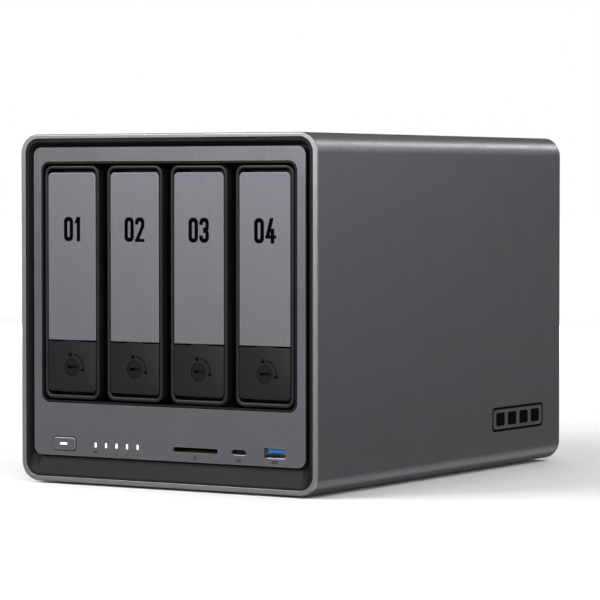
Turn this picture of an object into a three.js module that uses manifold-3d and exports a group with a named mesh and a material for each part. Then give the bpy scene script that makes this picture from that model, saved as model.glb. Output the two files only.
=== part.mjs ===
// A four-bay desktop storage enclosure: an aluminium sleeve around a black bezel, a face plate
// with its ports, four removable drive trays with levers and locks, and a fan at the back.
// Millimetres. +X is right seen from the front, the front faces -Y, +Z is up, and the origin is
// on the floor under the middle of the enclosure.
import * as THREE from 'three';
import { mergeVertices } from 'three/addons/utils/BufferGeometryUtils.js';
import Module from 'manifold-3d';

const wasm = await Module();
wasm.setup();

// ---------- driving dimensions ----------
const WIDTH = 178;
const DEPTH = 257;
const HEIGHT = 178;
const GAP = 0.3; // left between pieces that would otherwise touch
const HALF = WIDTH / 2;
const FRONT = -DEPTH / 2;
const REAR = DEPTH / 2;

// sleeve
const FOOT_PROUD = 1;
const SIDE_WALL = 2.8;
const TOP_WALL = 2.2;
const FLOOR_WALL = 2.6;
const SLEEVE_CORNER = 10;
const INNER_CORNER = 7.6;
const BORE = {
  x: HALF - SIDE_WALL,
  low: FOOT_PROUD + FLOOR_WALL,
  high: HEIGHT - TOP_WALL,
};
const COVER = { x: 45, front: -25, back: 55 };
const FOOT = { x: 66, y: 100, radius: 9, pocket: 1 };
const CORNERS = [[-1, -1], [1, -1], [1, 1], [-1, 1]];

// the mouldings that close the sleeve's two ends leave a gap to it all round
const END_PLUG = {
  x: BORE.x - GAP,
  low: BORE.low + GAP,
  high: BORE.high - GAP,
  corner: INNER_CORNER - GAP,
};
const BEZEL_LIP = 1.9;
const BEZEL_SLOPE = 0.9;
const BEZEL_BACK = FRONT + 8;
const GROOVE_FLOOR = FRONT + 4;

// face plate, and the opening in it for the four trays
const FACE = { x: 81.5, low: 14.6, high: 171.2, corner: 4.2 };
const FACE_FRONT = FRONT + 0.9;
const FACE_THICK = 1;
const BAY_MOUTH = { x: 77, low: 41.3, high: 164.3, corner: 5 };
const MOUTH_LIP = 0.8;
const PORT_STRIP = { x: 74, below: 4, above: 5 };

// trays, in a frame whose X is measured from the middle of the bay
const BAYS = 4;
const BAY_PITCH = 38.65;
const RING = { x: 16.9, low: 43.5, high: 162.1, corner: 4.5, front: FRONT + 1, back: FRONT + 11 };
const RING_WALL = 1.9;
const RING_HOLLOW = {
  x: RING.x - RING_WALL,
  low: RING.low + 2.1,
  high: RING.high - 1.7,
  corner: 2.8,
  back: FRONT + 9,
};
const DRIVE_TALL = 101.6; // a 3.5-inch drive stands on its side
const DRIVE_MID_Z = (RING.low + RING.high) / 2;
const CARRIER_END = FRONT + 163;
const CARRIER_LEFT = -14.5;
const CARRIER_SIDE = 1.6;
const PANEL_X = 14.7; // half width of the tray's front panels
const PANEL_FRONT = FRONT + 1.2;
const SPLIT_Z = 73.1; // where the lever ends and the release panel begins
const SPLIT_GAP = 0.8;
const LEVER_TOP = 158.5;
const HINGE = { y: FRONT + 4.2, z: 155.6, radius: 1.5 };
const RELEASE_LOW = 47.4;
const FACE_SHEET = 0.8;
const LEVER_SHEET = 1.6;
const LEVER_END = FRONT + 6.4;
const CATCH = { half: 4.7, back: FRONT + 5.8 };
const RAIL_LOW = RING_HOLLOW.low + 0.1;
const RAIL_HIGH = RING_HOLLOW.high - 0.4;
const DRIVE_ROOM = 0.35; // left above and below the drive
const LOCK = { z: 59.6, radius: 4.5 };

// cage that holds the trays
const CAGE = { front: FRONT + 13, back: FRONT + 175, low: 43.6, high: 162, sheet: 1.6 };
const DIVIDER = 1.2;
const CAGE_X = (BAYS / 2) * BAY_PITCH;
const CAGE_SIDE = 1.3;
const CAGE_FLOOR_TOP = CAGE.low + CAGE.sheet;
const CAGE_ROOF_LOW = CAGE.high - CAGE.sheet;
const GUIDE = { clear: 0.6, thick: 1.2, tall: 3, rooted: 0.5 };
const BACKPLANE = { front: CAGE.back + 1, low: 48, high: 158 };
const BACKPLANE_VENT = { left: 1, right: 13, low: 60, high: 148 };
const CONNECTOR = { x: -5, thick: 6, low: 62, high: 104, front: FRONT + 167 };
const CONNECTOR_BLADE = { half: 1.2, key: 1, deep: 5, inset: 4, step: 1.6 };

// controls and sockets in the lower strip of the face plate
const STRIP_Z = 20.6;
const BUTTON = { x: -62.6, wide: 14.2, tall: 6.8, corner: 1.8, travel: 1 };
const LIGHTS = { first: -43.3, pitch: 6.45, count: 5, wide: 1.5, tall: 2.4 };
const CARD = { x: 17.3, wide: 26.8, tall: 2.3 };
const USB_C = { x: 43, wide: 8.6, tall: 2.9 };
const USB_A = { x: 63.95, z: 21.05, wide: 12.4, tall: 5.2 };
const IO_BOARD = { low: 16.2, high: 17.8, front: FRONT + 9, back: FRONT + 42, x: 76 };
const SOCKET_MOUTH = FACE_FRONT + FACE_THICK + GAP;

// back
const PANEL_BACK = REAR - 2.7;
const PANEL_THICK = 1.5;
const FAN = { z: 104, side: 140, deep: 25, bore: 67.5, hub: 22, tip: 65.5, blades: 7 };
const FAN_BACK = PANEL_BACK - PANEL_THICK - GAP;
const FAN_COVER = { x: 69, low: 35, high: 173, corner: 8 };
const BOARD = { low: 13, thick: 1.6 };
const BOARD_TOP = BOARD.low + BOARD.thick;
const FAN_STRUT = { wide: 4, thick: 2.4 };
const BLADE = { chord: 30, thick: 1.6, pitch: 52, rooted: 3 };
const COVER_SLOT = { x: 60, tall: 7, pitch: 11, first: 10.5, count: 11 };
const SOCKET_FRONT = 106;
const SOCKET_END = PANEL_BACK - 0.2;
const SOCKET_DEEP = PANEL_BACK - 13;
const REAR_PORTS = {
  power: { x: 70, z: 20, radius: 4 },
  hdmi: { x: 48, z: 19.5, wide: 15, tall: 5.6 },
  usb: { x: 22, z: 23.2, wide: 13.2, tall: 14.6 },
  lan: { x: -16, z: 22.4, wide: 31.4, tall: 13 },
  reset: { x: -48, z: 20, radius: 1.6 },
};
const LOCK_SLOT = { left: -70, right: -63, low: 18.5, high: 21.5 };

// main board
const MAIN_BOARD = { x: 82, front: -78, back: 122 };
const COOLER = { left: -36, right: 38.5, back: 64, base: 21, low: 20.5, high: 38 };
const FIN = { count: 9, pitch: 9, thick: 2.5 };

// ---------- materials ----------
const finish = (color, roughness, metalness) =>
  new THREE.MeshStandardMaterial({ color, roughness, metalness });
const sleeveGrey = finish(0x6b6d71, 0.45, 0.9);
const faceGrey = finish(0x77777e, 0.5, 0.7);
const blackPlastic = finish(0x262626, 0.6, 0);
const steel = finish(0xb4b6b8, 0.35, 1);
const cageSteel = finish(0x3a3b3d, 0.5, 0.8);
const boardGreen = finish(0x12301f, 0.6, 0);
const rubber = finish(0x1a1a1a, 0.9, 0);
const lightWhite = finish(0xf4f6f8, 0.3, 0);
const aluminium = finish(0xa9abae, 0.4, 1);

// ---------- shape helpers ----------
function roundedRect(x0, x1, y0, y1, r) {
  const shape = new THREE.Shape();
  shape.moveTo(x0 + r, y0);
  shape.lineTo(x1 - r, y0);
  shape.absarc(x1 - r, y0 + r, r, -Math.PI / 2, 0);
  shape.lineTo(x1, y1 - r);
  shape.absarc(x1 - r, y1 - r, r, 0, Math.PI / 2);
  shape.lineTo(x0 + r, y1);
  shape.absarc(x0 + r, y1 - r, r, Math.PI / 2, Math.PI);
  shape.lineTo(x0, y0 + r);
  shape.absarc(x0 + r, y0 + r, r, Math.PI, 1.5 * Math.PI);
  shape.closePath();
  return shape;
}

// A rounded rectangle from a { x, low, high, corner } outline, grown by extra on every side.
function outline(o, extra = 0) {
  return roundedRect(-o.x - extra, o.x + extra, o.low - extra, o.high + extra, o.corner + extra);
}

// A rounded rectangle around a centre.
function pill(cx, cy, wide, tall, r) {
  return roundedRect(cx - wide / 2, cx + wide / 2, cy - tall / 2, cy + tall / 2, r);
}

// A shape drawn in X and Z, extruded along Y.
function prismY(shape, y0, y1, curveSegments = 3) {
  return new THREE.ExtrudeGeometry(shape, { depth: y1 - y0, bevelEnabled: false, curveSegments })
    .rotateX(Math.PI / 2)
    .translate(0, y1, 0);
}

function box(x0, x1, y0, y1, z0, z1) {
  return new THREE.BoxGeometry(x1 - x0, y1 - y0, z1 - z0)
    .translate((x0 + x1) / 2, (y0 + y1) / 2, (z0 + z1) / 2);
}

// Cylinders along X, Y and Z.
function rodX(x0, x1, y, z, r, sides = 12) {
  return new THREE.CylinderGeometry(r, r, x1 - x0, sides)
    .rotateZ(Math.PI / 2)
    .translate((x0 + x1) / 2, y, z);
}

function rodY(x, z, y0, y1, r, sides = 24) {
  return new THREE.CylinderGeometry(r, r, y1 - y0, sides).translate(x, (y0 + y1) / 2, z);
}

function rodZ(x, y, z0, z1, r, sides = 20) {
  return new THREE.CylinderGeometry(r, r, z1 - z0, sides)
    .rotateX(Math.PI / 2)
    .translate(x, y, (z0 + z1) / 2);
}

// A solid between two outlines with as many points each, drawn in X and Z at two values of Y.
function loftY(nearShape, yNear, farShape, yFar) {
  const near = nearShape.getPoints(3).slice(0, -1);
  const far = farShape.getPoints(3).slice(0, -1);
  const count = near.length;
  const position = [
    ...near.flatMap((p) => [p.x, yNear, p.y]),
    ...far.flatMap((p) => [p.x, yFar, p.y]),
  ];
  const index = [];
  for (let i = 0; i < count; i++) {
    const next = (i + 1) % count;
    index.push(i, next, count + next, i, count + next, count + i);
  }
  for (let i = 1; i < count - 1; i++) {
    index.push(0, i + 1, i);
    index.push(count, count + i, count + i + 1);
  }
  const geometry = new THREE.BufferGeometry();
  geometry.setAttribute('position', new THREE.Float32BufferAttribute(position, 3));
  // Seen from the front the outlines run anticlockwise, so the corners are listed backwards.
  geometry.setIndex(index.reverse());
  return geometry;
}

// ---------- booleans ----------
function solidOf(geometry) {
  const bare = geometry.clone();
  bare.deleteAttribute('normal');
  bare.deleteAttribute('uv');
  const merged = mergeVertices(bare, 1e-4);
  return new wasm.Manifold(new wasm.Mesh({
    numProp: 3,
    vertProperties: merged.attributes.position.array,
    triVerts: new Uint32Array(merged.index.array),
  }));
}

function geometryOf(solid) {
  const mesh = solid.getMesh();
  const geometry = new THREE.BufferGeometry();
  geometry.setAttribute('position', new THREE.BufferAttribute(mesh.vertProperties, 3));
  geometry.setIndex(new THREE.BufferAttribute(mesh.triVerts, 1));
  return geometry;
}

function join(...geometries) {
  return geometryOf(geometries.map(solidOf).reduce((all, next) => all.add(next)));
}

function cut(geometry, ...tools) {
  return geometryOf(tools.map(solidOf).reduce((left, tool) => left.subtract(tool), solidOf(geometry)));
}

function piece(parent, name, geometry, material) {
  const mesh = new THREE.Mesh(geometry, material);
  mesh.name = name;
  parent.add(mesh);
}

const enclosure = new THREE.Group();

// ---------- outer sleeve, its underside cover and its feet ----------
function outerSleeve() {
  const skin = roundedRect(-HALF, HALF, FOOT_PROUD, HEIGHT, SLEEVE_CORNER);
  const tube = cut(
    prismY(skin, FRONT, REAR, 4),
    prismY(outline({ ...BORE, corner: INNER_CORNER }), FRONT - 1, REAR + 1, 4),
  );
  const pockets = CORNERS.map(([sx, sy]) =>
    rodZ(sx * FOOT.x, sy * FOOT.y, 0, FOOT_PROUD + FOOT.pocket, FOOT.radius + GAP));
  const hatch = box(-COVER.x, COVER.x, COVER.front, COVER.back, 0, BORE.low + 1);
  return cut(tube, hatch, ...pockets);
}

function bottomCover() {
  const x = COVER.x - GAP;
  return box(-x, x, COVER.front + GAP, COVER.back - GAP, FOOT_PROUD + GAP, BORE.low - GAP);
}

piece(enclosure, 'outer_sleeve', outerSleeve(), sleeveGrey);
piece(enclosure, 'bottom_cover', bottomCover(), sleeveGrey);
CORNERS.forEach(([sx, sy], i) => {
  const foot = rodZ(sx * FOOT.x, sy * FOOT.y, 0, FOOT_PROUD + FOOT.pocket - GAP, FOOT.radius);
  piece(enclosure, `foot_${i + 1}`, foot, rubber);
});

// ---------- front bezel and face plate ----------
// Holes through the face plate: button, lights, card slot and the two sockets.
function stripHoles(y0, y1) {
  const { wide, tall, corner } = BUTTON;
  const button = pill(BUTTON.x, STRIP_Z, wide + 2 * GAP, tall + 2 * GAP, corner + GAP);
  const usbHalf = { wide: USB_A.wide / 2, tall: USB_A.tall / 2 };
  const holes = [
    prismY(button, y0, y1, 2),
    prismY(pill(CARD.x, STRIP_Z, CARD.wide, CARD.tall, CARD.tall / 2 - 0.01), y0, y1),
    prismY(pill(USB_C.x, STRIP_Z, USB_C.wide, USB_C.tall, USB_C.tall / 2 - 0.01), y0, y1),
    box(
      USB_A.x - usbHalf.wide, USB_A.x + usbHalf.wide, y0, y1,
      USB_A.z - usbHalf.tall, USB_A.z + usbHalf.tall,
    ),
  ];
  for (let i = 0; i < LIGHTS.count; i++) {
    const x = LIGHTS.first + i * LIGHTS.pitch;
    holes.push(prismY(pill(x, STRIP_Z, LIGHTS.wide + GAP, LIGHTS.tall + GAP, 0.7), y0, y1, 1));
  }
  return holes;
}

function frontBezel() {
  const rim = {
    x: END_PLUG.x - BEZEL_LIP,
    low: END_PLUG.low + BEZEL_LIP,
    high: END_PLUG.high - BEZEL_LIP,
    corner: END_PLUG.corner - BEZEL_LIP,
  };
  const floor = {
    x: rim.x - BEZEL_SLOPE,
    low: FACE.low - 0.8,
    high: rim.high - BEZEL_SLOPE,
    corner: rim.corner - BEZEL_SLOPE,
  };
  const lip = {
    x: BAY_MOUTH.x - GAP,
    low: BAY_MOUTH.low + GAP,
    high: BAY_MOUTH.high - GAP,
    corner: BAY_MOUTH.corner - GAP,
  };
  const dished = cut(
    prismY(outline(END_PLUG), FRONT + GAP, BEZEL_BACK),
    loftY(outline(rim), FRONT + GAP - 0.01, outline(floor), GROOVE_FLOOR),
  );
  const raised = join(
    dished,
    prismY(outline(FACE), FACE_FRONT + FACE_THICK + GAP, GROOVE_FLOOR + 1),
    prismY(outline(lip), FACE_FRONT, GROOVE_FLOOR + 1),
  );
  return cut(
    raised,
    prismY(outline(lip, -MOUTH_LIP), FRONT - 1, BEZEL_BACK + 1),
    box(
      -PORT_STRIP.x, PORT_STRIP.x, FRONT - 1, BEZEL_BACK + 1,
      STRIP_Z - PORT_STRIP.below, STRIP_Z + PORT_STRIP.above,
    ),
  );
}

function facePlate() {
  const y1 = FACE_FRONT + FACE_THICK;
  return cut(
    prismY(outline(FACE), FACE_FRONT, y1),
    prismY(outline(BAY_MOUTH), FACE_FRONT - 1, y1 + 1),
    ...stripHoles(FACE_FRONT - 1, y1 + 1),
  );
}

piece(enclosure, 'front_bezel', frontBezel(), blackPlastic);
piece(enclosure, 'face_plate', facePlate(), faceGrey);

// ---------- front controls and sockets ----------
function powerButton() {
  const cap = pill(BUTTON.x, STRIP_Z, BUTTON.wide, BUTTON.tall, BUTTON.corner);
  const slot = pill(BUTTON.x, STRIP_Z, 5.2, 1.7, 0.8);
  const body = join(
    prismY(cap, FACE_FRONT - 0.6, FRONT + 4),
    box(BUTTON.x - 4, BUTTON.x + 4, FRONT + 3, FRONT + 8, STRIP_Z - 2, STRIP_Z + 2),
  );
  return cut(body, prismY(slot, FRONT - 1, FRONT + 6, 2));
}

function lightPipe() {
  const last = LIGHTS.first + (LIGHTS.count - 1) * LIGHTS.pitch;
  const bar = box(LIGHTS.first - 2, last + 2, FRONT + 7, FRONT + 9, STRIP_Z - 1.2, STRIP_Z + 1.2);
  const prongs = Array.from({ length: LIGHTS.count }, (_, i) => {
    const end = pill(LIGHTS.first + i * LIGHTS.pitch, STRIP_Z, LIGHTS.wide, LIGHTS.tall, 0.6);
    return prismY(end, FACE_FRONT, FRONT + 8, 1);
  });
  return join(bar, ...prongs);
}

function cardReader() {
  const half = CARD.wide / 2 + 1;
  return cut(
    box(CARD.x - half, CARD.x + half, SOCKET_MOUTH, FRONT + 30, IO_BOARD.high + GAP, STRIP_Z + 2.4),
    box(CARD.x - 12.3, CARD.x + 12.3, FRONT, FRONT + 26, STRIP_Z - 1.2, STRIP_Z + 1.2),
  );
}

// A socket: a thin shell, open at its mouth, round a tongue that stands on its back wall.
function socket({ x, z, wide, tall, corner, mouth, back, tongue }) {
  const wall = 0.4;
  const inner = corner ? pill(x, z, wide, tall, corner) : pill(x, z, wide, tall, 0.3);
  const outer = pill(x, z, wide + 2 * wall, tall + 2 * wall, (corner || 0.3) + wall);
  const from = Math.min(mouth, back);
  const to = Math.max(mouth, back);
  const inward = Math.sign(back - mouth);
  const pocketEnd = back - inward * 1.5;
  const overshoot = mouth - inward;
  const shell = cut(
    prismY(outer, from, to, 2),
    prismY(inner, Math.min(overshoot, pocketEnd), Math.max(overshoot, pocketEnd), 2),
  );
  const tip = mouth + inward * tongue.set;
  const end = back - inward * 0.5;
  return join(
    shell,
    box(x - tongue.wide / 2, x + tongue.wide / 2, Math.min(tip, end), Math.max(tip, end),
      z + tongue.z - tongue.tall / 2, z + tongue.z + tongue.tall / 2),
  );
}

piece(enclosure, 'power_button', powerButton(), faceGrey);
piece(
  enclosure,
  'power_light',
  prismY(pill(BUTTON.x, STRIP_Z, 4.6, 1.1, 0.5), FACE_FRONT - 0.6, FRONT + 5.6, 2),
  lightWhite,
);
piece(enclosure, 'status_light_pipe', lightPipe(), lightWhite);
piece(enclosure, 'card_reader', cardReader(), steel);
piece(enclosure, 'front_usb_c_socket', socket({
  ...USB_C, z: STRIP_Z, corner: USB_C.tall / 2 - 0.01, mouth: SOCKET_MOUTH, back: FRONT + 12,
  tongue: { wide: 6.7, tall: 0.7, z: 0, set: 1 },
}), steel);
piece(enclosure, 'front_usb_a_socket', socket({
  ...USB_A, mouth: SOCKET_MOUTH, back: FRONT + 16, tongue: { wide: 11, tall: 1.8, z: 1.1, set: 1 },
}), steel);
piece(
  enclosure,
  'front_io_board',
  box(-IO_BOARD.x, IO_BOARD.x, IO_BOARD.front, IO_BOARD.back, IO_BOARD.low, IO_BOARD.high),
  boardGreen,
);

// ---------- drive cage ----------
// The cage's floor or roof, with a pair of guide ribs for each tray's rail.
function guidePlate(z0, z1, ribLow, ribHigh) {
  const ribs = bayCentres().flatMap((x) => [-1, 1].map((side) => {
    const near = x + side * (-CARRIER_LEFT + GUIDE.clear);
    const far = near + side * GUIDE.thick;
    return box(Math.min(near, far), Math.max(near, far), CAGE.front, CAGE.back, ribLow, ribHigh);
  }));
  const x = CAGE_X - CAGE_SIDE - 0.4;
  return join(box(-x, x, CAGE.front, CAGE.back, z0, z1), ...ribs);
}

// An upright wall of the cage.
function cageWall(x0, x1, z0, z1) {
  return box(x0, x1, CAGE.front, CAGE.back, z0, z1);
}

function bayCentres() {
  return Array.from({ length: BAYS }, (_, i) => (i - (BAYS - 1) / 2) * BAY_PITCH);
}

function cageFloor() {
  const top = CAGE_FLOOR_TOP;
  return guidePlate(CAGE.low, top, top - GUIDE.rooted, top + GUIDE.tall);
}

function cageRoof() {
  const low = CAGE_ROOF_LOW;
  return guidePlate(low, CAGE.high, low - GUIDE.tall, low + GUIDE.rooted);
}

piece(enclosure, 'cage_floor', cageFloor(), cageSteel);
piece(enclosure, 'cage_roof', cageRoof(), cageSteel);
piece(enclosure, 'cage_side_left', cageWall(-CAGE_X, -CAGE_X + CAGE_SIDE, CAGE.low, CAGE.high), cageSteel);
piece(enclosure, 'cage_side_right', cageWall(CAGE_X - CAGE_SIDE, CAGE_X, CAGE.low, CAGE.high), cageSteel);
for (let i = 0; i < BAYS - 1; i++) {
  const x = (i - 1) * BAY_PITCH;
  const wall = cageWall(x - DIVIDER / 2, x + DIVIDER / 2, CAGE_FLOOR_TOP + GAP, CAGE_ROOF_LOW - GAP);
  piece(enclosure, `cage_divider_${i + 1}`, wall, cageSteel);
}

// ---------- backplane with its drive connectors ----------
function backplane() {
  const { front, low, high } = BACKPLANE;
  const vent = BACKPLANE_VENT;
  const vents = bayCentres().map((x) =>
    box(x + vent.left, x + vent.right, front - 1, front + 3, vent.low, vent.high));
  return cut(box(-CAGE_X, CAGE_X, front, front + BOARD.thick, low, high), ...vents);
}

function driveConnector() {
  const { x, thick, low, high, front } = CONNECTOR;
  const { half, key, deep, inset, step } = CONNECTOR_BLADE;
  const foot = low + inset;
  return cut(
    box(x - thick / 2, x + thick / 2, front, BACKPLANE.front - GAP, low, high),
    box(x - half, x + half, front - 1, front + deep, foot, high - inset),
    box(x - half, x + half + key, front - 1, front + deep, foot, foot + step),
  );
}

piece(enclosure, 'backplane_board', backplane(), boardGreen);

// ---------- drive trays ----------
// The carrier: a front ring, a side sheet, and a rail above and below the drive.
function trayCarrier() {
  const driveLow = DRIVE_MID_Z - DRIVE_TALL / 2 - DRIVE_ROOM;
  const driveHigh = DRIVE_MID_Z + DRIVE_TALL / 2 + DRIVE_ROOM;
  const right = -CARRIER_LEFT - 0.5;
  const inner = CARRIER_LEFT + CARRIER_SIDE;
  const root = RING.back - 1;
  const rails = [[RAIL_LOW, driveLow], [driveHigh, RAIL_HIGH]].map(([z0, z1]) =>
    box(CARRIER_LEFT, right, root, CARRIER_END, z0, z1));
  const side = box(CARRIER_LEFT, inner, root, CARRIER_END, RAIL_LOW, RAIL_HIGH);
  const body = join(prismY(outline(RING), RING.front, RING.back, 2), ...rails, side);
  const sockets = [-1, 1].map((way) => {
    const reach = [way * (RING_HOLLOW.x - 1), way * (RING_HOLLOW.x + 1.3)].sort((a, b) => a - b);
    return rodX(...reach, HINGE.y, HINGE.z, HINGE.radius + GAP);
  });
  return cut(body, prismY(outline(RING_HOLLOW), RING.front - 1, RING_HOLLOW.back, 2), ...sockets);
}

// The lever: a ribbed plate behind the metal face, with a trunnion at each side.
function trayLever() {
  const z0 = SPLIT_Z + SPLIT_GAP / 2;
  const x = PANEL_X - 0.3;
  const back = PANEL_FRONT + FACE_SHEET + GAP;
  return join(
    box(-x, x, back, back + LEVER_SHEET, z0 + GAP, LEVER_TOP - GAP),
    ...[-1, 1].map((side) => {
      const [a, b] = [side * x, side * (x - LEVER_SHEET)].sort((p, q) => p - q);
      return box(a, b, back + 1, LEVER_END, z0 + 14, LEVER_TOP - LEVER_SHEET);
    }),
    rodX(-(RING_HOLLOW.x + 1), RING_HOLLOW.x + 1, HINGE.y, HINGE.z, HINGE.radius),
  );
}

function trayFace() {
  const z0 = SPLIT_Z + SPLIT_GAP / 2;
  const r = 2.4;
  const shape = new THREE.Shape();
  shape.moveTo(-PANEL_X, z0);
  shape.lineTo(PANEL_X, z0);
  shape.lineTo(PANEL_X, LEVER_TOP - r);
  shape.absarc(PANEL_X - r, LEVER_TOP - r, r, 0, Math.PI / 2);
  shape.lineTo(-PANEL_X + r, LEVER_TOP);
  shape.absarc(-PANEL_X + r, LEVER_TOP - r, r, Math.PI / 2, Math.PI);
  shape.closePath();
  return prismY(shape, PANEL_FRONT, PANEL_FRONT + FACE_SHEET, 2);
}

// The release panel below the lever, with the lock's hole and the catch behind the split.
function trayRelease() {
  const z1 = SPLIT_Z - SPLIT_GAP / 2;
  const r = 2;
  const shape = new THREE.Shape();
  shape.moveTo(-PANEL_X + r, RELEASE_LOW);
  shape.lineTo(PANEL_X - r, RELEASE_LOW);
  shape.absarc(PANEL_X - r, RELEASE_LOW + r, r, -Math.PI / 2, 0);
  shape.lineTo(PANEL_X, z1);
  shape.lineTo(-PANEL_X, z1);
  shape.lineTo(-PANEL_X, RELEASE_LOW + r);
  shape.absarc(-PANEL_X + r, RELEASE_LOW + r, r, Math.PI, 1.5 * Math.PI);
  shape.closePath();
  const panel = join(
    prismY(shape, PANEL_FRONT, PANEL_FRONT + 3, 2),
    box(-CATCH.half, CATCH.half, PANEL_FRONT + 1.5, CATCH.back, z1 - 4, z1 - 0.1),
    box(-CATCH.half, CATCH.half, CATCH.back - 1.2, CATCH.back, z1 - 1, z1 + 3),
  );
  return cut(panel, rodY(0, LOCK.z, FRONT - 1, FRONT + 7, LOCK.radius + 0.35));
}

function trayLock() {
  return cut(
    rodY(0, LOCK.z, PANEL_FRONT + GAP, LEVER_END, LOCK.radius),
    box(-2.9, 2.9, FRONT - 1, PANEL_FRONT + 2.3, LOCK.z - 0.55, LOCK.z + 0.55),
  );
}

bayCentres().forEach((x, i) => {
  const bay = new THREE.Group();
  bay.position.x = x;
  piece(bay, `tray_${i + 1}_carrier`, trayCarrier(), blackPlastic);
  piece(bay, `tray_${i + 1}_lever`, trayLever(), blackPlastic);
  piece(bay, `tray_${i + 1}_face`, trayFace(), faceGrey);
  piece(bay, `tray_${i + 1}_release`, trayRelease(), blackPlastic);
  piece(bay, `tray_${i + 1}_lock`, trayLock(), blackPlastic);
  piece(bay, `drive_connector_${i + 1}`, driveConnector(), blackPlastic);
  enclosure.add(bay);
});

// ---------- main board, cooler and memory ----------
function cooler() {
  const { left, right, back, base, low, high } = COOLER;
  const fins = Array.from({ length: FIN.count }, (_, i) => {
    const x = left + i * FIN.pitch;
    return box(x, x + FIN.thick, 0, back, low, high);
  });
  return join(box(left, right, 0, back, BOARD_TOP + GAP + 2.5, base), ...fins);
}

function mainBoard() {
  const { x, front, back } = MAIN_BOARD;
  return box(-x, x, front, back, BOARD.low, BOARD_TOP);
}

piece(enclosure, 'main_board', mainBoard(), boardGreen);
piece(enclosure, 'processor_cooler', cooler(), aluminium);
piece(enclosure, 'memory_module', box(-34, 34, -12, 18, 8.2, 9.4), boardGreen);
piece(enclosure, 'solid_state_module', box(-30, 50, 24, 46, 8.2, 9.2), boardGreen);

// ---------- rear panel, fan and rear sockets ----------
function rearPanel() {
  const y0 = PANEL_BACK - PANEL_THICK;
  const room = 2 * GAP;
  const window = ({ x, z, wide, tall }) => {
    const [dx, dz] = [wide / 2 + room, tall / 2 + room];
    return box(x - dx, x + dx, y0 - 1, PANEL_BACK + 1, z - dz, z + dz);
  };
  const { power, hdmi, usb, lan, reset } = REAR_PORTS;
  return cut(
    prismY(outline(END_PLUG), y0, PANEL_BACK),
    rodY(0, FAN.z, y0 - 1, PANEL_BACK + 1, 66, 48),
    window(hdmi),
    window(usb),
    window(lan),
    rodY(power.x, power.z, y0 - 1, PANEL_BACK + 1, power.radius + room, 20),
    rodY(reset.x, reset.z, y0 - 1, PANEL_BACK + 1, reset.radius + GAP, 12),
    box(LOCK_SLOT.left, LOCK_SLOT.right, y0 - 1, PANEL_BACK + 1, LOCK_SLOT.low, LOCK_SLOT.high),
  );
}

function fanFrame() {
  const half = FAN.side / 2;
  const y0 = FAN_BACK - FAN.deep;
  const square = roundedRect(-half, half, FAN.z - half, FAN.z + half, 6);
  const hoop = cut(
    prismY(square, y0, FAN_BACK, 2),
    rodY(0, FAN.z, y0 - 1, FAN_BACK + 1, FAN.bore, 40),
  );
  const reach = FAN.bore + 1;
  const struts = [45, 135, 225, 315].map((degrees) =>
    new THREE.BoxGeometry(reach, FAN_STRUT.thick, FAN_STRUT.wide)
      .translate(reach / 2, 0, 0)
      .rotateY(THREE.MathUtils.degToRad(degrees))
      .translate(0, FAN_BACK - FAN_STRUT.thick / 2, FAN.z));
  return join(hoop, rodY(0, FAN.z, FAN_BACK - 3, FAN_BACK, FAN.hub - 1, 24), ...struts);
}

function fanRotor() {
  const y0 = FAN_BACK - FAN.deep + 1;
  const y1 = FAN_BACK - 3.6;
  const length = FAN.tip - FAN.hub + BLADE.rooted;
  const blades = Array.from({ length: FAN.blades }, (_, i) =>
    new THREE.BoxGeometry(length, BLADE.thick, BLADE.chord)
      .rotateX(THREE.MathUtils.degToRad(BLADE.pitch))
      .translate(FAN.hub - BLADE.rooted + length / 2, 0, 0)
      .rotateY((i * 2 * Math.PI) / FAN.blades)
      .translate(0, (y0 + y1) / 2, FAN.z));
  const rotor = join(rodY(0, FAN.z, y0, y1, FAN.hub, 32), ...blades);
  return geometryOf(solidOf(rotor).intersect(solidOf(rodY(0, FAN.z, y0, y1, FAN.tip, 40))));
}

function fanCover() {
  const y0 = PANEL_BACK + GAP;
  const y1 = REAR - GAP;
  const { x, tall, pitch, first, count } = COVER_SLOT;
  const slots = Array.from({ length: count }, (_, i) => {
    const low = FAN_COVER.low + first + i * pitch;
    return box(-x, x, y0 - 1, y1 + 1, low, low + tall);
  });
  return cut(prismY(outline(FAN_COVER), y0, y1, 2), ...slots);
}

function powerInlet() {
  const { x, z, radius } = REAR_PORTS.power;
  const barrel = cut(
    rodY(x, z, SOCKET_FRONT, SOCKET_END, radius, 20),
    rodY(x, z, SOCKET_FRONT + 8, REAR, 2.9, 16),
  );
  return join(
    barrel,
    rodY(x, z, SOCKET_FRONT + 7, PANEL_BACK - 1.5, 1, 8),
    box(x - 5, x + 5, SOCKET_FRONT, FAN_BACK, BOARD_TOP + GAP, z),
  );
}

// The two network sockets share one housing.
function lanSockets() {
  const { x, z, wide, tall } = REAR_PORTS.lan;
  const bays = [x - 7.9, x + 7.9].flatMap((middle) => [
    box(middle - 5.9, middle + 5.9, SOCKET_DEEP, REAR, z - 4.2, z + 3.2),
    box(middle - 3, middle + 3, SOCKET_DEEP, REAR, z - 5.4, z),
  ]);
  return cut(
    box(x - wide / 2, x + wide / 2, SOCKET_FRONT, SOCKET_END, z - tall / 2, z + tall / 2),
    ...bays,
  );
}

function rearUsb() {
  const { x, z, wide, tall } = REAR_PORTS.usb;
  const rows = [z - 3.7, z + 3.7];
  const holes = rows.map((middle) =>
    box(x - 6.2, x + 6.2, SOCKET_DEEP, REAR, middle - 2.6, middle + 2.6));
  const tongues = rows.map((middle) =>
    box(x - 5.5, x + 5.5, SOCKET_DEEP - 1, PANEL_BACK - 2, middle + 0.2, middle + 2));
  const body = box(x - wide / 2, x + wide / 2, SOCKET_FRONT, SOCKET_END, z - tall / 2, z + tall / 2);
  return join(cut(body, ...holes), ...tongues);
}

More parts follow.
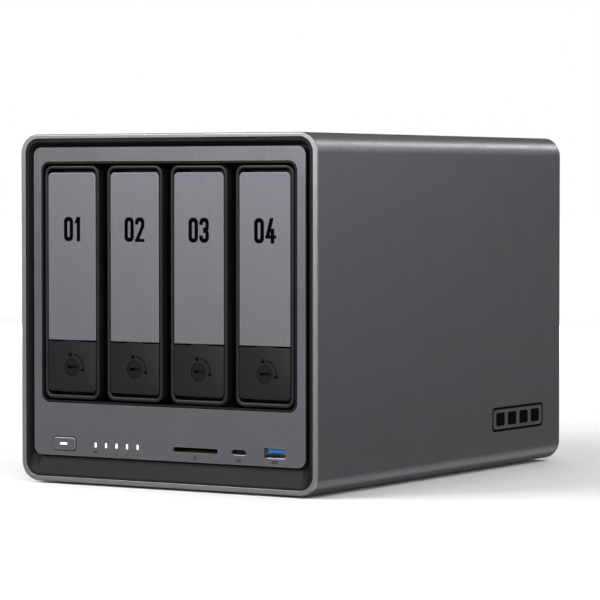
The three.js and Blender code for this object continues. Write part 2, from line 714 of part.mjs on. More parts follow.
function resetButton() {
  const { x, z, radius } = REAR_PORTS.reset;
  return join(
    rodY(x, z, PANEL_BACK - 6, PANEL_BACK - 0.4, radius, 12),
    rodY(x, z, PANEL_BACK - 6, PANEL_BACK - PANEL_THICK - 0.8, radius + 1, 12),
  );
}

piece(enclosure, 'rear_panel', rearPanel(), blackPlastic);
piece(enclosure, 'fan_frame', fanFrame(), blackPlastic);
piece(enclosure, 'fan_rotor', fanRotor(), blackPlastic);
piece(enclosure, 'fan_cover', fanCover(), blackPlastic);
piece(enclosure, 'power_inlet', powerInlet(), blackPlastic);
piece(enclosure, 'hdmi_socket', socket({
  ...REAR_PORTS.hdmi, mouth: SOCKET_END, back: SOCKET_FRONT + 6,
  tongue: { wide: 11.5, tall: 1.2, z: 0.3, set: 1.5 },
}), steel);
piece(enclosure, 'rear_usb_stack', rearUsb(), steel);
piece(enclosure, 'lan_sockets', lanSockets(), steel);
piece(enclosure, 'reset_button', resetButton(), blackPlastic);

export default enclosure;
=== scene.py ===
from math import cos, pi, radians, sin

import bmesh
import bpy
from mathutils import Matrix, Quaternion, Vector


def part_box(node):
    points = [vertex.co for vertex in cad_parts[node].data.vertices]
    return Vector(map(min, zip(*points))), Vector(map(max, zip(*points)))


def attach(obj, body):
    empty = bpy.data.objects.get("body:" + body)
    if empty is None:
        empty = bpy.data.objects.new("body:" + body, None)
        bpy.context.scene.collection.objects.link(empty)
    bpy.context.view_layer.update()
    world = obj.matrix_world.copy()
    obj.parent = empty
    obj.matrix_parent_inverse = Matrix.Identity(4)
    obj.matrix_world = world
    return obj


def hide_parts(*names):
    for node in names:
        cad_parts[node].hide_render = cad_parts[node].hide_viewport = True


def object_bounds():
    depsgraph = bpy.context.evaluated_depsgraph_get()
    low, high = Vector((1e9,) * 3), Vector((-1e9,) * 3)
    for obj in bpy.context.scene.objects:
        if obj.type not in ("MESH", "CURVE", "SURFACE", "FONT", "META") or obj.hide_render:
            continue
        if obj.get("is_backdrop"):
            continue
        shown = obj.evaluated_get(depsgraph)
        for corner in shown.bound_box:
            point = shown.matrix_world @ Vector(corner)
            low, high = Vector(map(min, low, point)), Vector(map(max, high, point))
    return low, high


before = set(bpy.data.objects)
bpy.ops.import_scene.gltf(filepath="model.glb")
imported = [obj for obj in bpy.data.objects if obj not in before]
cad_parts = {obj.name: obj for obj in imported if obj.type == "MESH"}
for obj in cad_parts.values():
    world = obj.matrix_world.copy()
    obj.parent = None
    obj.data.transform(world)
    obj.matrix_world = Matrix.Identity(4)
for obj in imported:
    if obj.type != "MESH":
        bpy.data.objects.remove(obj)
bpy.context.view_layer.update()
bpy.ops.object.select_all(action="DESELECT")
MM = 0.001

# ---- The set: camera, pale floor and soft studio light ----
# The enclosure stands on a white sweep, seen from its right front corner at about the height of
# its top. Soft boxes light it from the front left and from behind on the right.
camera_data = bpy.data.cameras.new("camera")
camera_data.lens = 188.75
camera_data.sensor_width = 36
camera_data.clip_end = 50
camera = bpy.data.objects.new("camera", camera_data)
bpy.context.scene.collection.objects.link(camera)
camera.location = (0.8814, -1.4250, 0.1525)
camera.rotation_euler = (radians(90 - 2.1025), 0, radians(31.752))
bpy.context.scene.camera = camera
bpy.context.scene.view_settings.view_transform = "Standard"
bpy.context.scene.view_settings.look = "None"

FLOOR_REACH, FLOOR_DROP = 12, 0.0002
bpy.ops.mesh.primitive_circle_add(
    vertices=96, radius=FLOOR_REACH, fill_type="NGON", location=(0, 0, -FLOOR_DROP)
)
floor = bpy.context.object
floor.name = "floor"
bpy.ops.object.transform_apply(location=True)


def give(node, values):
    """Types values into a node's inputs."""
    for label, value in values.items():
        node.inputs[label].default_value = value


def math_node(tree, operation, first, second, clamp=False):
    """Works out one value from two, each a number or another node's output."""
    node = tree.nodes.new("ShaderNodeMath")
    node.operation = operation
    node.use_clamp = clamp
    for socket, value in zip(node.inputs, (first, second)):
        if isinstance(value, (int, float)):
            socket.default_value = value
        else:
            tree.links.new(value, socket)
    return node.outputs[0]


def remap(tree, value, low, high, new_low=0.0, new_high=1.0, kind="LINEAR"):
    """Carries a value from one range to another, and holds it at the ends."""
    node = tree.nodes.new("ShaderNodeMapRange")
    node.interpolation_type = kind
    give(node, {"From Min": low, "From Max": high, "To Min": new_low, "To Max": new_high})
    tree.links.new(value, node.inputs["Value"])
    return node.outputs["Result"]


def split_by_ray(tree, for_camera, for_others, output):
    """Gives the camera one shader and every other ray another."""
    path = tree.nodes.new("ShaderNodeLightPath")
    choose = tree.nodes.new("ShaderNodeMixShader")
    tree.links.new(path.outputs["Is Camera Ray"], choose.inputs["Fac"])
    tree.links.new(for_others, choose.inputs[1])
    tree.links.new(for_camera, choose.inputs[2])
    tree.links.new(choose.outputs["Shader"], tree.nodes[output].inputs["Surface"])


floor_paint = bpy.data.materials.new("floor_white")
floor_paint.use_nodes = True
tree = floor_paint.node_tree
SWEEP = {"Roughness": 0.9, "Specular IOR Level": 0.1, "Emission Color": (1, 1, 1, 1)}
shader = tree.nodes["Principled BSDF"]
give(shader, {**SWEEP, "Base Color": (0.86, 0.86, 0.86, 1)})

# The sweep glows more and more away from the enclosure, as if lit by its own lamps, and a painted contact
# shadow dims it in the narrow gap under it.
GLOW_NEAR, GLOW_FAR, GLOW_LOW, GLOW_HIGH = 0.35, 3.0, 0.19, 1.1
CONTACT_SHADOW_REACH, CONTACT_SHADOW_STRENGTH = 0.035, 1.2
place = tree.nodes.new("ShaderNodeTexCoord")
distance = tree.nodes.new("ShaderNodeVectorMath")
distance.operation = "LENGTH"
tree.links.new(place.outputs["Object"], distance.inputs[0])
glow = remap(tree, distance.outputs["Value"], GLOW_NEAR, GLOW_FAR, GLOW_LOW, GLOW_HIGH, "SMOOTHSTEP")
contact_occlusion = tree.nodes.new("ShaderNodeAmbientOcclusion")
contact_occlusion.samples = 8
contact_occlusion.inputs["Distance"].default_value = CONTACT_SHADOW_REACH
outside_contact_shadow = math_node(tree, "POWER", contact_occlusion.outputs["AO"], CONTACT_SHADOW_STRENGTH)
tree.links.new(math_node(tree, "MULTIPLY", glow, outside_contact_shadow), shader.inputs["Emission Strength"])

# What the sweep throws back onto the enclosure is less than what the camera sees of it.
dim = tree.nodes.new("ShaderNodeBsdfPrincipled")
give(dim, {**SWEEP, "Base Color": (0.20, 0.20, 0.205, 1), "Emission Strength": 0.11})
split_by_ray(tree, shader.outputs["BSDF"], dim.outputs["BSDF"], "Material Output")
floor.data.materials.append(floor_paint)
floor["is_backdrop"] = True

# The camera sees a white background, and the enclosure is lit by a dimmer one.
world = bpy.data.worlds.new("studio")
bpy.context.scene.world = world
world.use_nodes = True
tree = world.node_tree
seen = tree.nodes.new("ShaderNodeBackground")
give(seen, {"Color": (1, 1, 1, 1), "Strength": 1.0})
lit_by = tree.nodes["Background"]
give(lit_by, {"Color": (0.93, 0.95, 1, 1), "Strength": 0.044})
split_by_ray(tree, seen.outputs["Background"], lit_by.outputs["Background"], "World Output")


def studio_light(name, place, aim, width, height, power):
    """A soft box at a place, in metres and watts, turned to face what it is aimed at."""
    data = bpy.data.lights.new(name, "AREA")
    data.shape = "RECTANGLE"
    data.size = width
    data.size_y = height
    data.energy = power
    light = bpy.data.objects.new(name, data)
    bpy.context.scene.collection.objects.link(light)
    light.location = place
    light.rotation_euler = (Vector(aim) - Vector(place)).to_track_quat("-Z", "Y").to_euler()
    return light


FRONT_AIM, BACK_AIM = (0, -0.1, 0.1), (0.089, 0, 0.1)
SOFT_BOX = 0.45
studio_light("front_low_a", (-0.320, -1.294, 0.502), FRONT_AIM, SOFT_BOX, SOFT_BOX, 3.2)
studio_light("front_low_b", (-0.618, -1.171, 0.502), FRONT_AIM, SOFT_BOX, SOFT_BOX, 3.0)
studio_light("front_high", (-0.640, -0.940, 0.846), FRONT_AIM, SOFT_BOX, SOFT_BOX, 4.4)
studio_light("fill_low", (0.974, -0.917, 0.370), FRONT_AIM, SOFT_BOX, SOFT_BOX, 3.0)
studio_light("fill_high", (0.763, -0.740, 0.936), FRONT_AIM, SOFT_BOX, SOFT_BOX, 4.4)
studio_light("back_right", (1.057, 0.997, 0.613), BACK_AIM, SOFT_BOX, SOFT_BOX, 3.3)
studio_light("back_right_low", (1.057, 0.997, 0.250), BACK_AIM, SOFT_BOX, SOFT_BOX, 0.9)
studio_light("back_overhead", (0, 1.6, 1.4), FRONT_AIM, 1.4, 0.7, 2.3)
studio_light("back_left_low", (-0.9, 1.5, 0.32), FRONT_AIM, 1.6, 0.3, 12)

# A strip behind on the right runs along the rounded top edge of the side, and is rolled in line with it.
edge_strip = studio_light("edge_strip", (0.60, 1.75, 1.02), (0.09, 0, 0.17), 0.56, 0.27, 8.4)
edge_roll = Quaternion((0, 0, 1), radians(-44))
edge_strip.rotation_euler = (edge_strip.rotation_euler.to_quaternion() @ edge_roll).to_euler()

# A thin strip lies on the sweep beside the enclosure and catches the rounding along its lower edge.
low_strip = studio_light("low_strip", (0.0925, 0.02, 0.001), (0.0925, 0.02, 1), 0.010, 0.5, 0.011)
low_strip.visible_camera = False

# One lamp from the left is for the sweep alone, where the enclosure's soft shadow falls.
sweep_lamp = studio_light("sweep_lamp", (-1.15, -0.75, 1.3), (0, 0, 0), 0.8, 0.8, 11.5)
sweep = bpy.data.collections.new("sweep")
sweep.objects.link(floor)
sweep_lamp.light_linking.receiver_collection = sweep


# ---- Outer sleeve ----
# One length of drawn aluminium tube, machined at both ends and bead-blasted all over, then
# anodised grey. The bright chamfer round its mouth is cut after the blasting.
def corners_of(node):
    """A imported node's lowest and highest corners, in millimetres."""
    return [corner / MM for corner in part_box(node)]


def block(name, low, high):
    """A cube brought to its size and place, in millimetres, alone in the selection."""
    bpy.ops.object.select_all(action="DESELECT")
    middle = [(a + b) / 2 * MM for a, b in zip(low, high)]
    size = [(b - a) * MM for a, b in zip(low, high)]
    bpy.ops.mesh.primitive_cube_add(size=1, location=middle, scale=size)
    bpy.ops.object.transform_apply(location=True, rotation=True, scale=True)
    bpy.context.object.name = name
    return bpy.context.object


def rod(name, centre, radius, length, along="Y", sides=48):
    """A cylinder along one axis, brought to its place, in millimetres."""
    turn = {"X": (0, pi / 2, 0), "Y": (pi / 2, 0, 0), "Z": (0, 0, 0)}[along]
    bpy.ops.object.select_all(action="DESELECT")
    bpy.ops.mesh.primitive_cylinder_add(
        vertices=sides,
        radius=radius * MM,
        depth=length * MM,
        location=[c * MM for c in centre],
        rotation=turn,
    )
    bpy.ops.object.transform_apply(location=True, rotation=True, scale=True)
    bpy.context.object.name = name
    return bpy.context.object


def only(piece):
    """Leaves one piece selected and active."""
    bpy.ops.object.select_all(action="DESELECT")
    piece.select_set(True)
    bpy.context.view_layer.objects.active = piece


def pick(piece, kind, wanted):
    """Goes into edit mode with the corners, edges or faces selected that wanted() accepts: it is given
    a corner's place, an edge's two ends or a face's middle and normal, in millimetres."""
    only(piece)
    bpy.ops.object.mode_set(mode="EDIT")
    bpy.ops.mesh.select_mode(type=kind)
    bpy.ops.mesh.select_all(action="DESELECT")
    mesh = bmesh.from_edit_mesh(piece.data)
    if kind == "VERT":
        for corner in mesh.verts:
            corner.select_set(wanted(corner.co / MM))
    elif kind == "EDGE":
        for edge in mesh.edges:
            edge.select_set(wanted(edge.verts[0].co / MM, edge.verts[1].co / MM))
    else:
        for face in mesh.faces:
            face.select_set(wanted(face.calc_center_median() / MM, face.normal))
    bmesh.update_edit_mesh(piece.data)


def to_object_mode():
    bpy.ops.object.mode_set(mode="OBJECT")


def round_edges(piece, wanted, radius, segments):
    """Rounds the edges that wanted() accepts by their two ends."""
    pick(piece, "EDGE", wanted)
    bpy.ops.mesh.bevel(offset=radius * MM, segments=segments, affect="EDGES")
    to_object_mode()


def round_along(piece, axis, radius, segments=8, wanted=lambda middle: True):
    """Rounds the edges that run along an axis, such as the four upright corners of a block."""
    across = [i for i in range(3) if i != axis]
    straight = lambda a, b: all(abs(a[i] - b[i]) < 1e-3 for i in across)
    round_edges(piece, lambda a, b: straight(a, b) and wanted((a + b) / 2), radius, segments)


def round_rim(piece, axis, place, radius, segments):
    """Rounds the edges in the plane at one place along an axis, such as the rim of a rod's end."""
    at_place = lambda end: abs(end[axis] - place) < 1e-2
    round_edges(piece, lambda a, b: at_place(a) and at_place(b), radius, segments)


def combine(piece, tool, how="DIFFERENCE"):
    """Cuts a piece with a tool, or joins them, and removes the tool."""
    only(piece)
    step = piece.modifiers.new("combine", "BOOLEAN")
    step.operation = how
    step.solver = "EXACT"
    step.object = tool
    bpy.ops.object.modifier_apply(modifier=step.name)
    bpy.data.objects.remove(tool)


def joined(first, *others):
    """Makes several separate shapes one piece."""
    only(first)
    for other in others:
        other.select_set(True)
    bpy.ops.object.join()
    return first


def ease_edges(piece, width, segments=2, angle=40):
    """Breaks the sharp edges left on a finished shape and shades it smooth between them."""
    only(piece)
    if width:
        step = piece.modifiers.new("ease", "BEVEL")
        step.width = width * MM
        step.segments = segments
        step.limit_method = "ANGLE"
        step.angle_limit = radians(angle)
        step.use_clamp_overlap = True
        step.miter_outer = "MITER_ARC"
        bpy.ops.object.modifier_apply(modifier=step.name)
    bpy.ops.object.shade_smooth_by_angle(angle=radians(angle))
    step = piece.modifiers.new("flat_faces", "WEIGHTED_NORMAL")
    step.keep_sharp = True
    bpy.ops.object.modifier_apply(modifier=step.name)


def fit(piece, material, body, slot, *replaced):
    """Gives a piece its material and the body it rides on, and hides the nodes it stands for. The slot is not
    used.
    """
    if not piece.data.materials:
        piece.data.materials.append(material)
    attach(piece, body)
    if replaced:
        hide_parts(*replaced)


def effect(name, inputs, outputs):
    """An empty shader node group with float inputs {name: default} and typed outputs {name: type}."""
    group = bpy.data.node_groups.new(name, "ShaderNodeTree")
    for label, value in inputs.items():
        socket = group.interface.new_socket(label, in_out="INPUT", socket_type="NodeSocketFloat")
        socket.default_value = value
    for label, kind in outputs.items():
        group.interface.new_socket(label, in_out="OUTPUT", socket_type=kind)
    return group, group.nodes.new("NodeGroupInput"), group.nodes.new("NodeGroupOutput")


# Blasted grain: a fine, even tooth with a broad, faint mottle under it.
grain, grain_in, grain_out = effect(
    "blasted_grain",
    {"Grain Size mm": 0.35, "Mottle Size mm": 14.0},
    {"Tooth": "NodeSocketFloat", "Mottle": "NodeSocketFloat"},
)
coordinates = grain.nodes.new("ShaderNodeTexCoord")
for size_input, detail, output in (("Grain Size mm", 2.0, "Tooth"), ("Mottle Size mm", 3.0, "Mottle")):
    noise = grain.nodes.new("ShaderNodeTexNoise")
    give(noise, {"Detail": detail, "Roughness": 0.6})
    grain.links.new(coordinates.outputs["Object"], noise.inputs["Vector"])
    per_metre = math_node(grain, "DIVIDE", 1000.0, grain_in.outputs[size_input])
    grain.links.new(per_metre, noise.inputs["Scale"])
    grain.links.new(noise.outputs["Fac"], grain_out.inputs[output])

# Paler edges, partly rubbed and partly a painted highlight: how far the rounded normal leaves the true one,
# so only outer edges and corners.
wear_and_sheen, wear_and_sheen_in, wear_and_sheen_out = effect("edge_wear_and_sheen", {"Radius mm": 0.5, "Gain": 6.0}, {"Edge": "NodeSocketFloat"})
rounded = wear_and_sheen.nodes.new("ShaderNodeBevel")
rounded.samples = 4
wear_and_sheen.links.new(math_node(wear_and_sheen, "DIVIDE", wear_and_sheen_in.outputs["Radius mm"], 1000.0), rounded.inputs["Radius"])
surface = wear_and_sheen.nodes.new("ShaderNodeNewGeometry")
alike = wear_and_sheen.nodes.new("ShaderNodeVectorMath")
alike.operation = "DOT_PRODUCT"
wear_and_sheen.links.new(rounded.outputs["Normal"], alike.inputs[0])
wear_and_sheen.links.new(surface.outputs["Normal"], alike.inputs[1])
apart = math_node(wear_and_sheen, "SUBTRACT", 1.0, alike.outputs["Value"])
rubbed_or_lit_mask = math_node(wear_and_sheen, "MULTIPLY", apart, wear_and_sheen_in.outputs["Gain"], clamp=True)
wear_and_sheen.links.new(rubbed_or_lit_mask, wear_and_sheen_out.inputs["Edge"])


# The noise stays between these two values nearly everywhere, and a finish drifts from one to the other.
NOISE_LOW, NOISE_HIGH = 0.3, 0.7
TOOTH_SHARE, MOTTLE_SHARE = 0.88, 0.12
ROUGHNESS_DRIFT = 0.02
# The pale colour of outer edges, partly rubbed and partly a painted highlight.
WORN_OR_LIT_COLOUR = (0.6, 0.6, 0.62, 1)


def blasted(name, colour, roughness, metallic, grain_mm=0.35, tooth=0.05, shift=0.12, edge=0.0, gloss=0.5):
    """A finish with a blasted or spark-eroded tooth: its colour and roughness drift a little, and its outer
    edges are paler by a share, partly rubbed and partly a painted highlight. Gloss is the strength of a
    plastic's reflection."""
    material = bpy.data.materials.new(name)
    material.use_nodes = True
    tree = material.node_tree
    shader = tree.nodes["Principled BSDF"]
    give(shader, {"Metallic": metallic, "Specular IOR Level": gloss})
    texture = tree.nodes.new("ShaderNodeGroup")
    texture.node_tree = grain
    texture.inputs["Grain Size mm"].default_value = grain_mm
    fine = math_node(tree, "MULTIPLY", texture.outputs["Tooth"], TOOTH_SHARE)
    broad = math_node(tree, "MULTIPLY", texture.outputs["Mottle"], MOTTLE_SHARE)
    mixed = math_node(tree, "ADD", fine, broad)
    tint = tree.nodes.new("ShaderNodeVectorMath")
    tint.operation = "SCALE"
    tint.inputs[0].default_value = colour
    tree.links.new(remap(tree, mixed, NOISE_LOW, NOISE_HIGH, 1 - shift, 1 + shift), tint.inputs["Scale"])
    colour_out = tint.outputs["Vector"]
    if edge:
        mask = tree.nodes.new("ShaderNodeGroup")
        mask.node_tree = wear_and_sheen
        worn_or_lit = tree.nodes.new("ShaderNodeMix")
        worn_or_lit.data_type = "RGBA"
        tree.links.new(math_node(tree, "MULTIPLY", mask.outputs["Edge"], edge), worn_or_lit.inputs["Factor"])
        tree.links.new(colour_out, worn_or_lit.inputs["A"])
        worn_or_lit.inputs["B"].default_value = WORN_OR_LIT_COLOUR
        colour_out = worn_or_lit.outputs["Result"]
    tree.links.new(colour_out, shader.inputs["Base Color"])
    smoothest, roughest = roughness - ROUGHNESS_DRIFT, roughness + ROUGHNESS_DRIFT
    rough = remap(tree, texture.outputs["Mottle"], NOISE_LOW, NOISE_HIGH, smoothest, roughest)
    tree.links.new(rough, shader.inputs["Roughness"])
    bump = tree.nodes.new("ShaderNodeBump")
    give(bump, {"Strength": 0.5, "Distance": tooth * MM})
    tree.links.new(texture.outputs["Tooth"], bump.inputs["Height"])
    tree.links.new(bump.outputs["Normal"], shader.inputs["Normal"])
    return material


sleeve_finish = blasted(
    "sleeve_anodised", (0.118, 0.121, 0.130), 0.42, 0.75, grain_mm=1.0, tooth=0.10, shift=0.24
)
rim_finish = blasted(
    "sleeve_bright_chamfer", (0.36, 0.365, 0.38), 0.33, 0.9, grain_mm=0.3, tooth=0.02, shift=0.04
)

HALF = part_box("outer_sleeve")[1].x / MM
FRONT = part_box("outer_sleeve")[0].y / MM
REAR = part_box("outer_sleeve")[1].y / MM
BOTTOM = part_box("outer_sleeve")[0].z / MM
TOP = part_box("outer_sleeve")[1].z / MM
SIDE_WALL, TOP_WALL, FLOOR_WALL = 2.8, 2.2, 2.6
SLEEVE_CORNER, BORE_CORNER = 10, 7.6
HATCH_GAP = 0.3
INNER_X = HALF - SIDE_WALL
INNER_LOW = BOTTOM + FLOOR_WALL
INNER_HIGH = TOP - TOP_WALL

sleeve = block("sleeve", (-HALF, FRONT, BOTTOM), (HALF, REAR, TOP))
round_along(sleeve, 1, SLEEVE_CORNER, segments=14)
at_mouth = lambda y: min(abs(y - FRONT), abs(y - REAR)) < 1e-3
round_edges(sleeve, lambda a, b: at_mouth(a.y) and at_mouth(b.y) and abs(a.y - b.y) < 1e-3, 0.6, 2)
bore = block("bore", (-INNER_X, FRONT - 1, INNER_LOW), (INNER_X, REAR + 1, INNER_HIGH))
round_along(bore, 1, BORE_CORNER, segments=12)
combine(sleeve, bore)
cover_low, cover_high = corners_of("bottom_cover")
hatch_from = (cover_low.x - HATCH_GAP, cover_low.y - HATCH_GAP, 0)
hatch_to = (cover_high.x + HATCH_GAP, cover_high.y + HATCH_GAP, 6)
combine(sleeve, block("hatch", hatch_from, hatch_to))
for number in range(1, 5):
    foot_low, foot_high = corners_of(f"foot_{number}")
    middle = (foot_low + foot_high) / 2
    combine(sleeve, rod("pocket", (middle.x, middle.y, foot_high.z - 1.7), 9.3, 4, along="Z"))
ease_edges(sleeve, 0.2, segments=2, angle=50)
sleeve.data.materials.append(sleeve_finish)
sleeve.data.materials.append(rim_finish)
for face in sleeve.data.polygons:
    if abs(face.normal.y) > 0.2 and abs(face.center.y) > (REAR - 1) * MM:
        face.material_index = 1
fit(sleeve, sleeve_finish, "root", "sleeve", "outer_sleeve")

# A printed badge near the back of the right side: a plain outline of an enclosure with four bays.
BADGE_Y, BADGE_LOW, BADGE_WIDE, BADGE_TALL = 79, 20.5, 58, 13
BADGE_LINE, BADGE_INSET = 1.3, 3
CELL_PITCH, CELL_WIDE = 13.2, 9.6
print_black = blasted(
    "printed_black", (0.0012, 0.0012, 0.0013), 0.6, 0, grain_mm=0.2, tooth=0.004, shift=0.05, gloss=0.02
)


def badge_part(name, middle, wide, inset, corner):
    """A rounded patch of print on the side, set in from the badge's top and bottom."""
    low, high = BADGE_LOW + inset, BADGE_LOW + BADGE_TALL - inset
    part = block(name, (HALF - 0.5, middle - wide / 2, low), (HALF + 0.03, middle + wide / 2, high))
    round_along(part, 0, corner, segments=6)
    return part


badge = badge_part("badge", BADGE_Y, BADGE_WIDE, 0, 2.6)
combine(badge, badge_part("hollow", BADGE_Y, BADGE_WIDE - 2 * BADGE_LINE, BADGE_LINE, 1.4))
for i in range(4):
    middle = BADGE_Y + (i - 1.5) * CELL_PITCH
    joined(badge, badge_part("cell", middle, CELL_WIDE, BADGE_INSET, 1.2))
fit(badge, print_black, "root", "black_plastic")


# ---- Front bezel ----
# A single black moulding pushed into the sleeve's mouth. Its lip stands level with the rim, and
# behind it the wall slopes in to a flat seat for the face plate and a bead round the bays.
moulded = blasted(
    "moulded_black", (0.0170, 0.0170, 0.0175), 0.46, 0, grain_mm=0.5, tooth=0.05, shift=0.12, gloss=0.18
)
FACE_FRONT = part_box("face_plate")[0].y / MM
FACE_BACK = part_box("face_plate")[1].y / MM
face_low, face_high = corners_of("face_plate")
SEAT = FRONT + 4
MOUTH_HALF, MOUTH_LOW, MOUTH_HIGH = 77, 41.3, 164.3
LIP, SLOPE, BEZEL_GAP = 1.5, 2.2, 0.3


def framed(name, x, low, high, y0, y1, corner, segments=10):
    """A rounded block centred on the enclosure's middle plane."""
    part = block(name, (-x, y0, low), (x, y1, high))
    round_along(part, 1, corner, segments)
    return part


def at_bays(name, inset, y0, y1, corner):
    """A block as large as the opening of the bays, set in all round."""
    return framed(name, MOUTH_HALF - inset, MOUTH_LOW + inset, MOUTH_HIGH - inset, y0, y1, corner)


bezel_half, bezel_low, bezel_high = INNER_X - BEZEL_GAP, INNER_LOW + BEZEL_GAP, INNER_HIGH - BEZEL_GAP
bezel = framed("bezel", bezel_half, bezel_low, bezel_high, FRONT + BEZEL_GAP, FRONT + 8, 7.3, 12)
pick(bezel, "FACE", lambda middle, normal: normal.y < -0.9)
bpy.ops.mesh.inset(thickness=LIP * MM)
bpy.ops.mesh.inset(thickness=SLOPE * MM, depth=-(SEAT - FRONT - BEZEL_GAP) * MM)
to_object_mode()
seat_low = bezel_low + LIP + SLOPE
pick(bezel, "VERT", lambda place: abs(place.y - SEAT) < 1e-2 and place.z < 60)
bpy.ops.transform.translate(value=(0, 0, (face_low.z - 0.7 - seat_low) * MM))
to_object_mode()
pad_half, pad_low, pad_high = face_high.x - 0.4, face_low.z + 0.4, face_high.z - 0.4
combine(bezel, framed("pad", pad_half, pad_low, pad_high, FACE_BACK + 0.3, SEAT + 1, 3.8), "UNION")
combine(bezel, at_bays("bead", 0.3, FACE_FRONT - 0.1, SEAT + 1, 4.7), "UNION")
combine(bezel, at_bays("throat", 1.2, FRONT - 1, FRONT + 9, 3.8))
combine(bezel, framed("port_strip", 74, 16.6, 25.6, FRONT - 1, FRONT + 9, 2))
ease_edges(bezel, 0.3, segments=3)
# The bezel is the same black moulding as the tray panels, made darker here: painted shade over its slopes and
# channel.
bezel_black_painted_shade = blasted(
    "bezel_black_painted_shade", (0.0120, 0.0120, 0.0125), 0.46, 0, grain_mm=0.5, tooth=0.05, shift=0.12, gloss=0.18
)
fit(bezel, bezel_black_painted_shade, "root", "black_plastic", "front_bezel")


# ---- Face plate ----
# A 1 mm plate stamped from aluminium sheet, blasted and anodised a little lighter than the sleeve,
# and bonded to the bezel's seat. Every edge is broken by a thin chamfer.
# The paler outer edges of this finish are a painted highlight along them.
face_finish = blasted(
    "face_anodised", (0.198, 0.199, 0.222), 0.30, 0.7, grain_mm=0.7, tooth=0.03, shift=0.12, edge=0.5
)
STRIP_Z = (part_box("power_button")[0].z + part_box("power_button")[1].z) / 2 / MM
BUTTON_X = (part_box("power_button")[0].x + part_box("power_button")[1].x) / 2 / MM
LIGHTS = [-43.3 + i * 6.45 for i in range(5)]
CARD_X, USB_C_X, USB_A_X, USB_A_Z = 17.3, 43.0, 63.95, STRIP_Z + 0.45


def slug(name, x, z, wide, tall, corner, y0, y1, segments=8):
    """A block with rounded corners round a centre on the face, from y0 back to y1."""
    part = block(name, (x - wide / 2, y0, z - tall / 2), (x + wide / 2, y1, z + tall / 2))
    round_along(part, 1, corner, segments)
    return part


plate = framed("face", face_high.x, face_low.z, face_high.z, FACE_FRONT, FACE_BACK, 4.2)
combine(plate, at_bays("mouth", 0, FACE_FRONT - 1, FACE_BACK + 1, 5))
openings = [
    (BUTTON_X, STRIP_Z, 15.0, 7.6, 2.2),
    (CARD_X, STRIP_Z, 26.8, 2.4, 1.19),
    (USB_C_X, STRIP_Z, 8.6, 2.9, 1.44),
    (USB_A_X, USB_A_Z, 12.5, 5.3, 0.35),
    *((x, STRIP_Z, 1.25, 2.6, 0.5) for x in LIGHTS),
]
for x, z, wide, tall, corner in openings:
    combine(plate, slug("opening", x, z, wide, tall, corner, FACE_FRONT - 1, FACE_BACK + 1))
ease_edges(plate, 0.22, segments=2)
fit(plate, face_finish, "root", "face_metal", "face_plate")


# Pad-printed marks under the lights and sockets: numbers for the four bays, and plain symbols.
INK_LIFT = 0.03
DIGIT_SHARE = 0.69  # a digit's height as a share of the typeface's size


def digits(name, text, x, z, height, y):
    """Flat digits standing on the face at y, centred on x and z."""
    bpy.ops.object.select_all(action="DESELECT")
    bpy.ops.object.text_add()
    figure = bpy.context.object
    figure.data.body = text
    figure.data.align_x = "CENTER"
    figure.data.align_y = "CENTER"
    figure.data.size = height * MM / DIGIT_SHARE
    figure.data.extrude = INK_LIFT * MM
    figure.data.resolution_u = 6
    bpy.ops.object.convert(target="MESH")
    figure = bpy.context.object
    figure.name = name
    xs = [v.co.x for v in figure.data.vertices]
    ys = [v.co.y for v in figure.data.vertices]
    figure.location = (-(min(xs) + max(xs)) / 2, -(min(ys) + max(ys)) / 2, 0)
    bpy.ops.object.transform_apply(location=True)
    figure.rotation_euler = (pi / 2, 0, 0)
    bpy.ops.object.transform_apply(rotation=True)
    figure.location = (x * MM, y * MM, z * MM)
    bpy.ops.object.transform_apply(location=True)
    return figure


MARK_Z = STRIP_Z - 3.9


def front_mark(x, z, wide, tall, corner):
    """A patch of ink on the face plate."""
    return slug("front_mark", x, z, wide, tall, corner, FACE_FRONT - INK_LIFT, FACE_FRONT + 0.3)


marks = [digits("bay_mark", str(i + 1), x, MARK_Z, 1.1, FACE_FRONT) for i, x in enumerate(LIGHTS[1:])]
marks.append(front_mark(LIGHTS[0], MARK_Z, 2.2, 0.35, 0.15))
for x in (LIGHTS[0] - 0.9, LIGHTS[0], LIGHTS[0] + 0.9):
    marks.append(front_mark(x, MARK_Z + 0.4, 0.4, 0.5, 0.1))
for x, wide, tall, corner in ((CARD_X, 1.3, 1.5, 0.2), (USB_C_X, 2.8, 1.1, 0.5), (USB_A_X, 3.2, 1.3, 0.15)):
    outline = front_mark(x, MARK_Z, wide, tall, corner)
    combine(outline, slug("inside", x, MARK_Z, wide - 0.5, tall - 0.5, 0.1, FACE_FRONT - 1, FACE_FRONT + 1))
    marks.append(outline)
    marks.append(front_mark(x, MARK_Z + 0.05, wide - 1.1, 0.2, 0.05))
printed = joined(*marks)
printed.name = "printed_marks"
fit(printed, print_black, "root", "black_plastic")


# ---- Power button ----
# A small anodised cap that stands a little proud of the plate, with a diamond-cut edge and a
# frosted light bar pressed into its middle. It travels 1 mm on the switch behind it.
CAP_PROUD = 0.6
LENS_X = BUTTON_X - 0.3
cap = slug("button_cap", BUTTON_X, STRIP_Z, 14.2, 6.8, 1.8, FACE_FRONT - CAP_PROUD, FRONT + 4)
round_rim(cap, 1, FACE_FRONT - CAP_PROUD, 0.6, 2)
combine(cap, slug("light_slot", LENS_X, STRIP_Z, 4.6, 1.15, 0.5, FRONT - 1, FRONT + 3))
stem = block("stem", (BUTTON_X - 4, FRONT + 3.5, STRIP_Z - 2), (BUTTON_X + 4, FRONT + 8, STRIP_Z + 2))
combine(cap, stem, "UNION")
ease_edges(cap, 0, angle=50)
cap.data.materials.append(face_finish)
cap.data.materials.append(rim_finish)
for face in cap.data.polygons:
    if -0.98 < face.normal.y < -0.2 and face.center.y < (FACE_FRONT + 0.2) * MM:
        face.material_index = 1
fit(cap, face_finish, "power_button", "face_metal", "power_button")


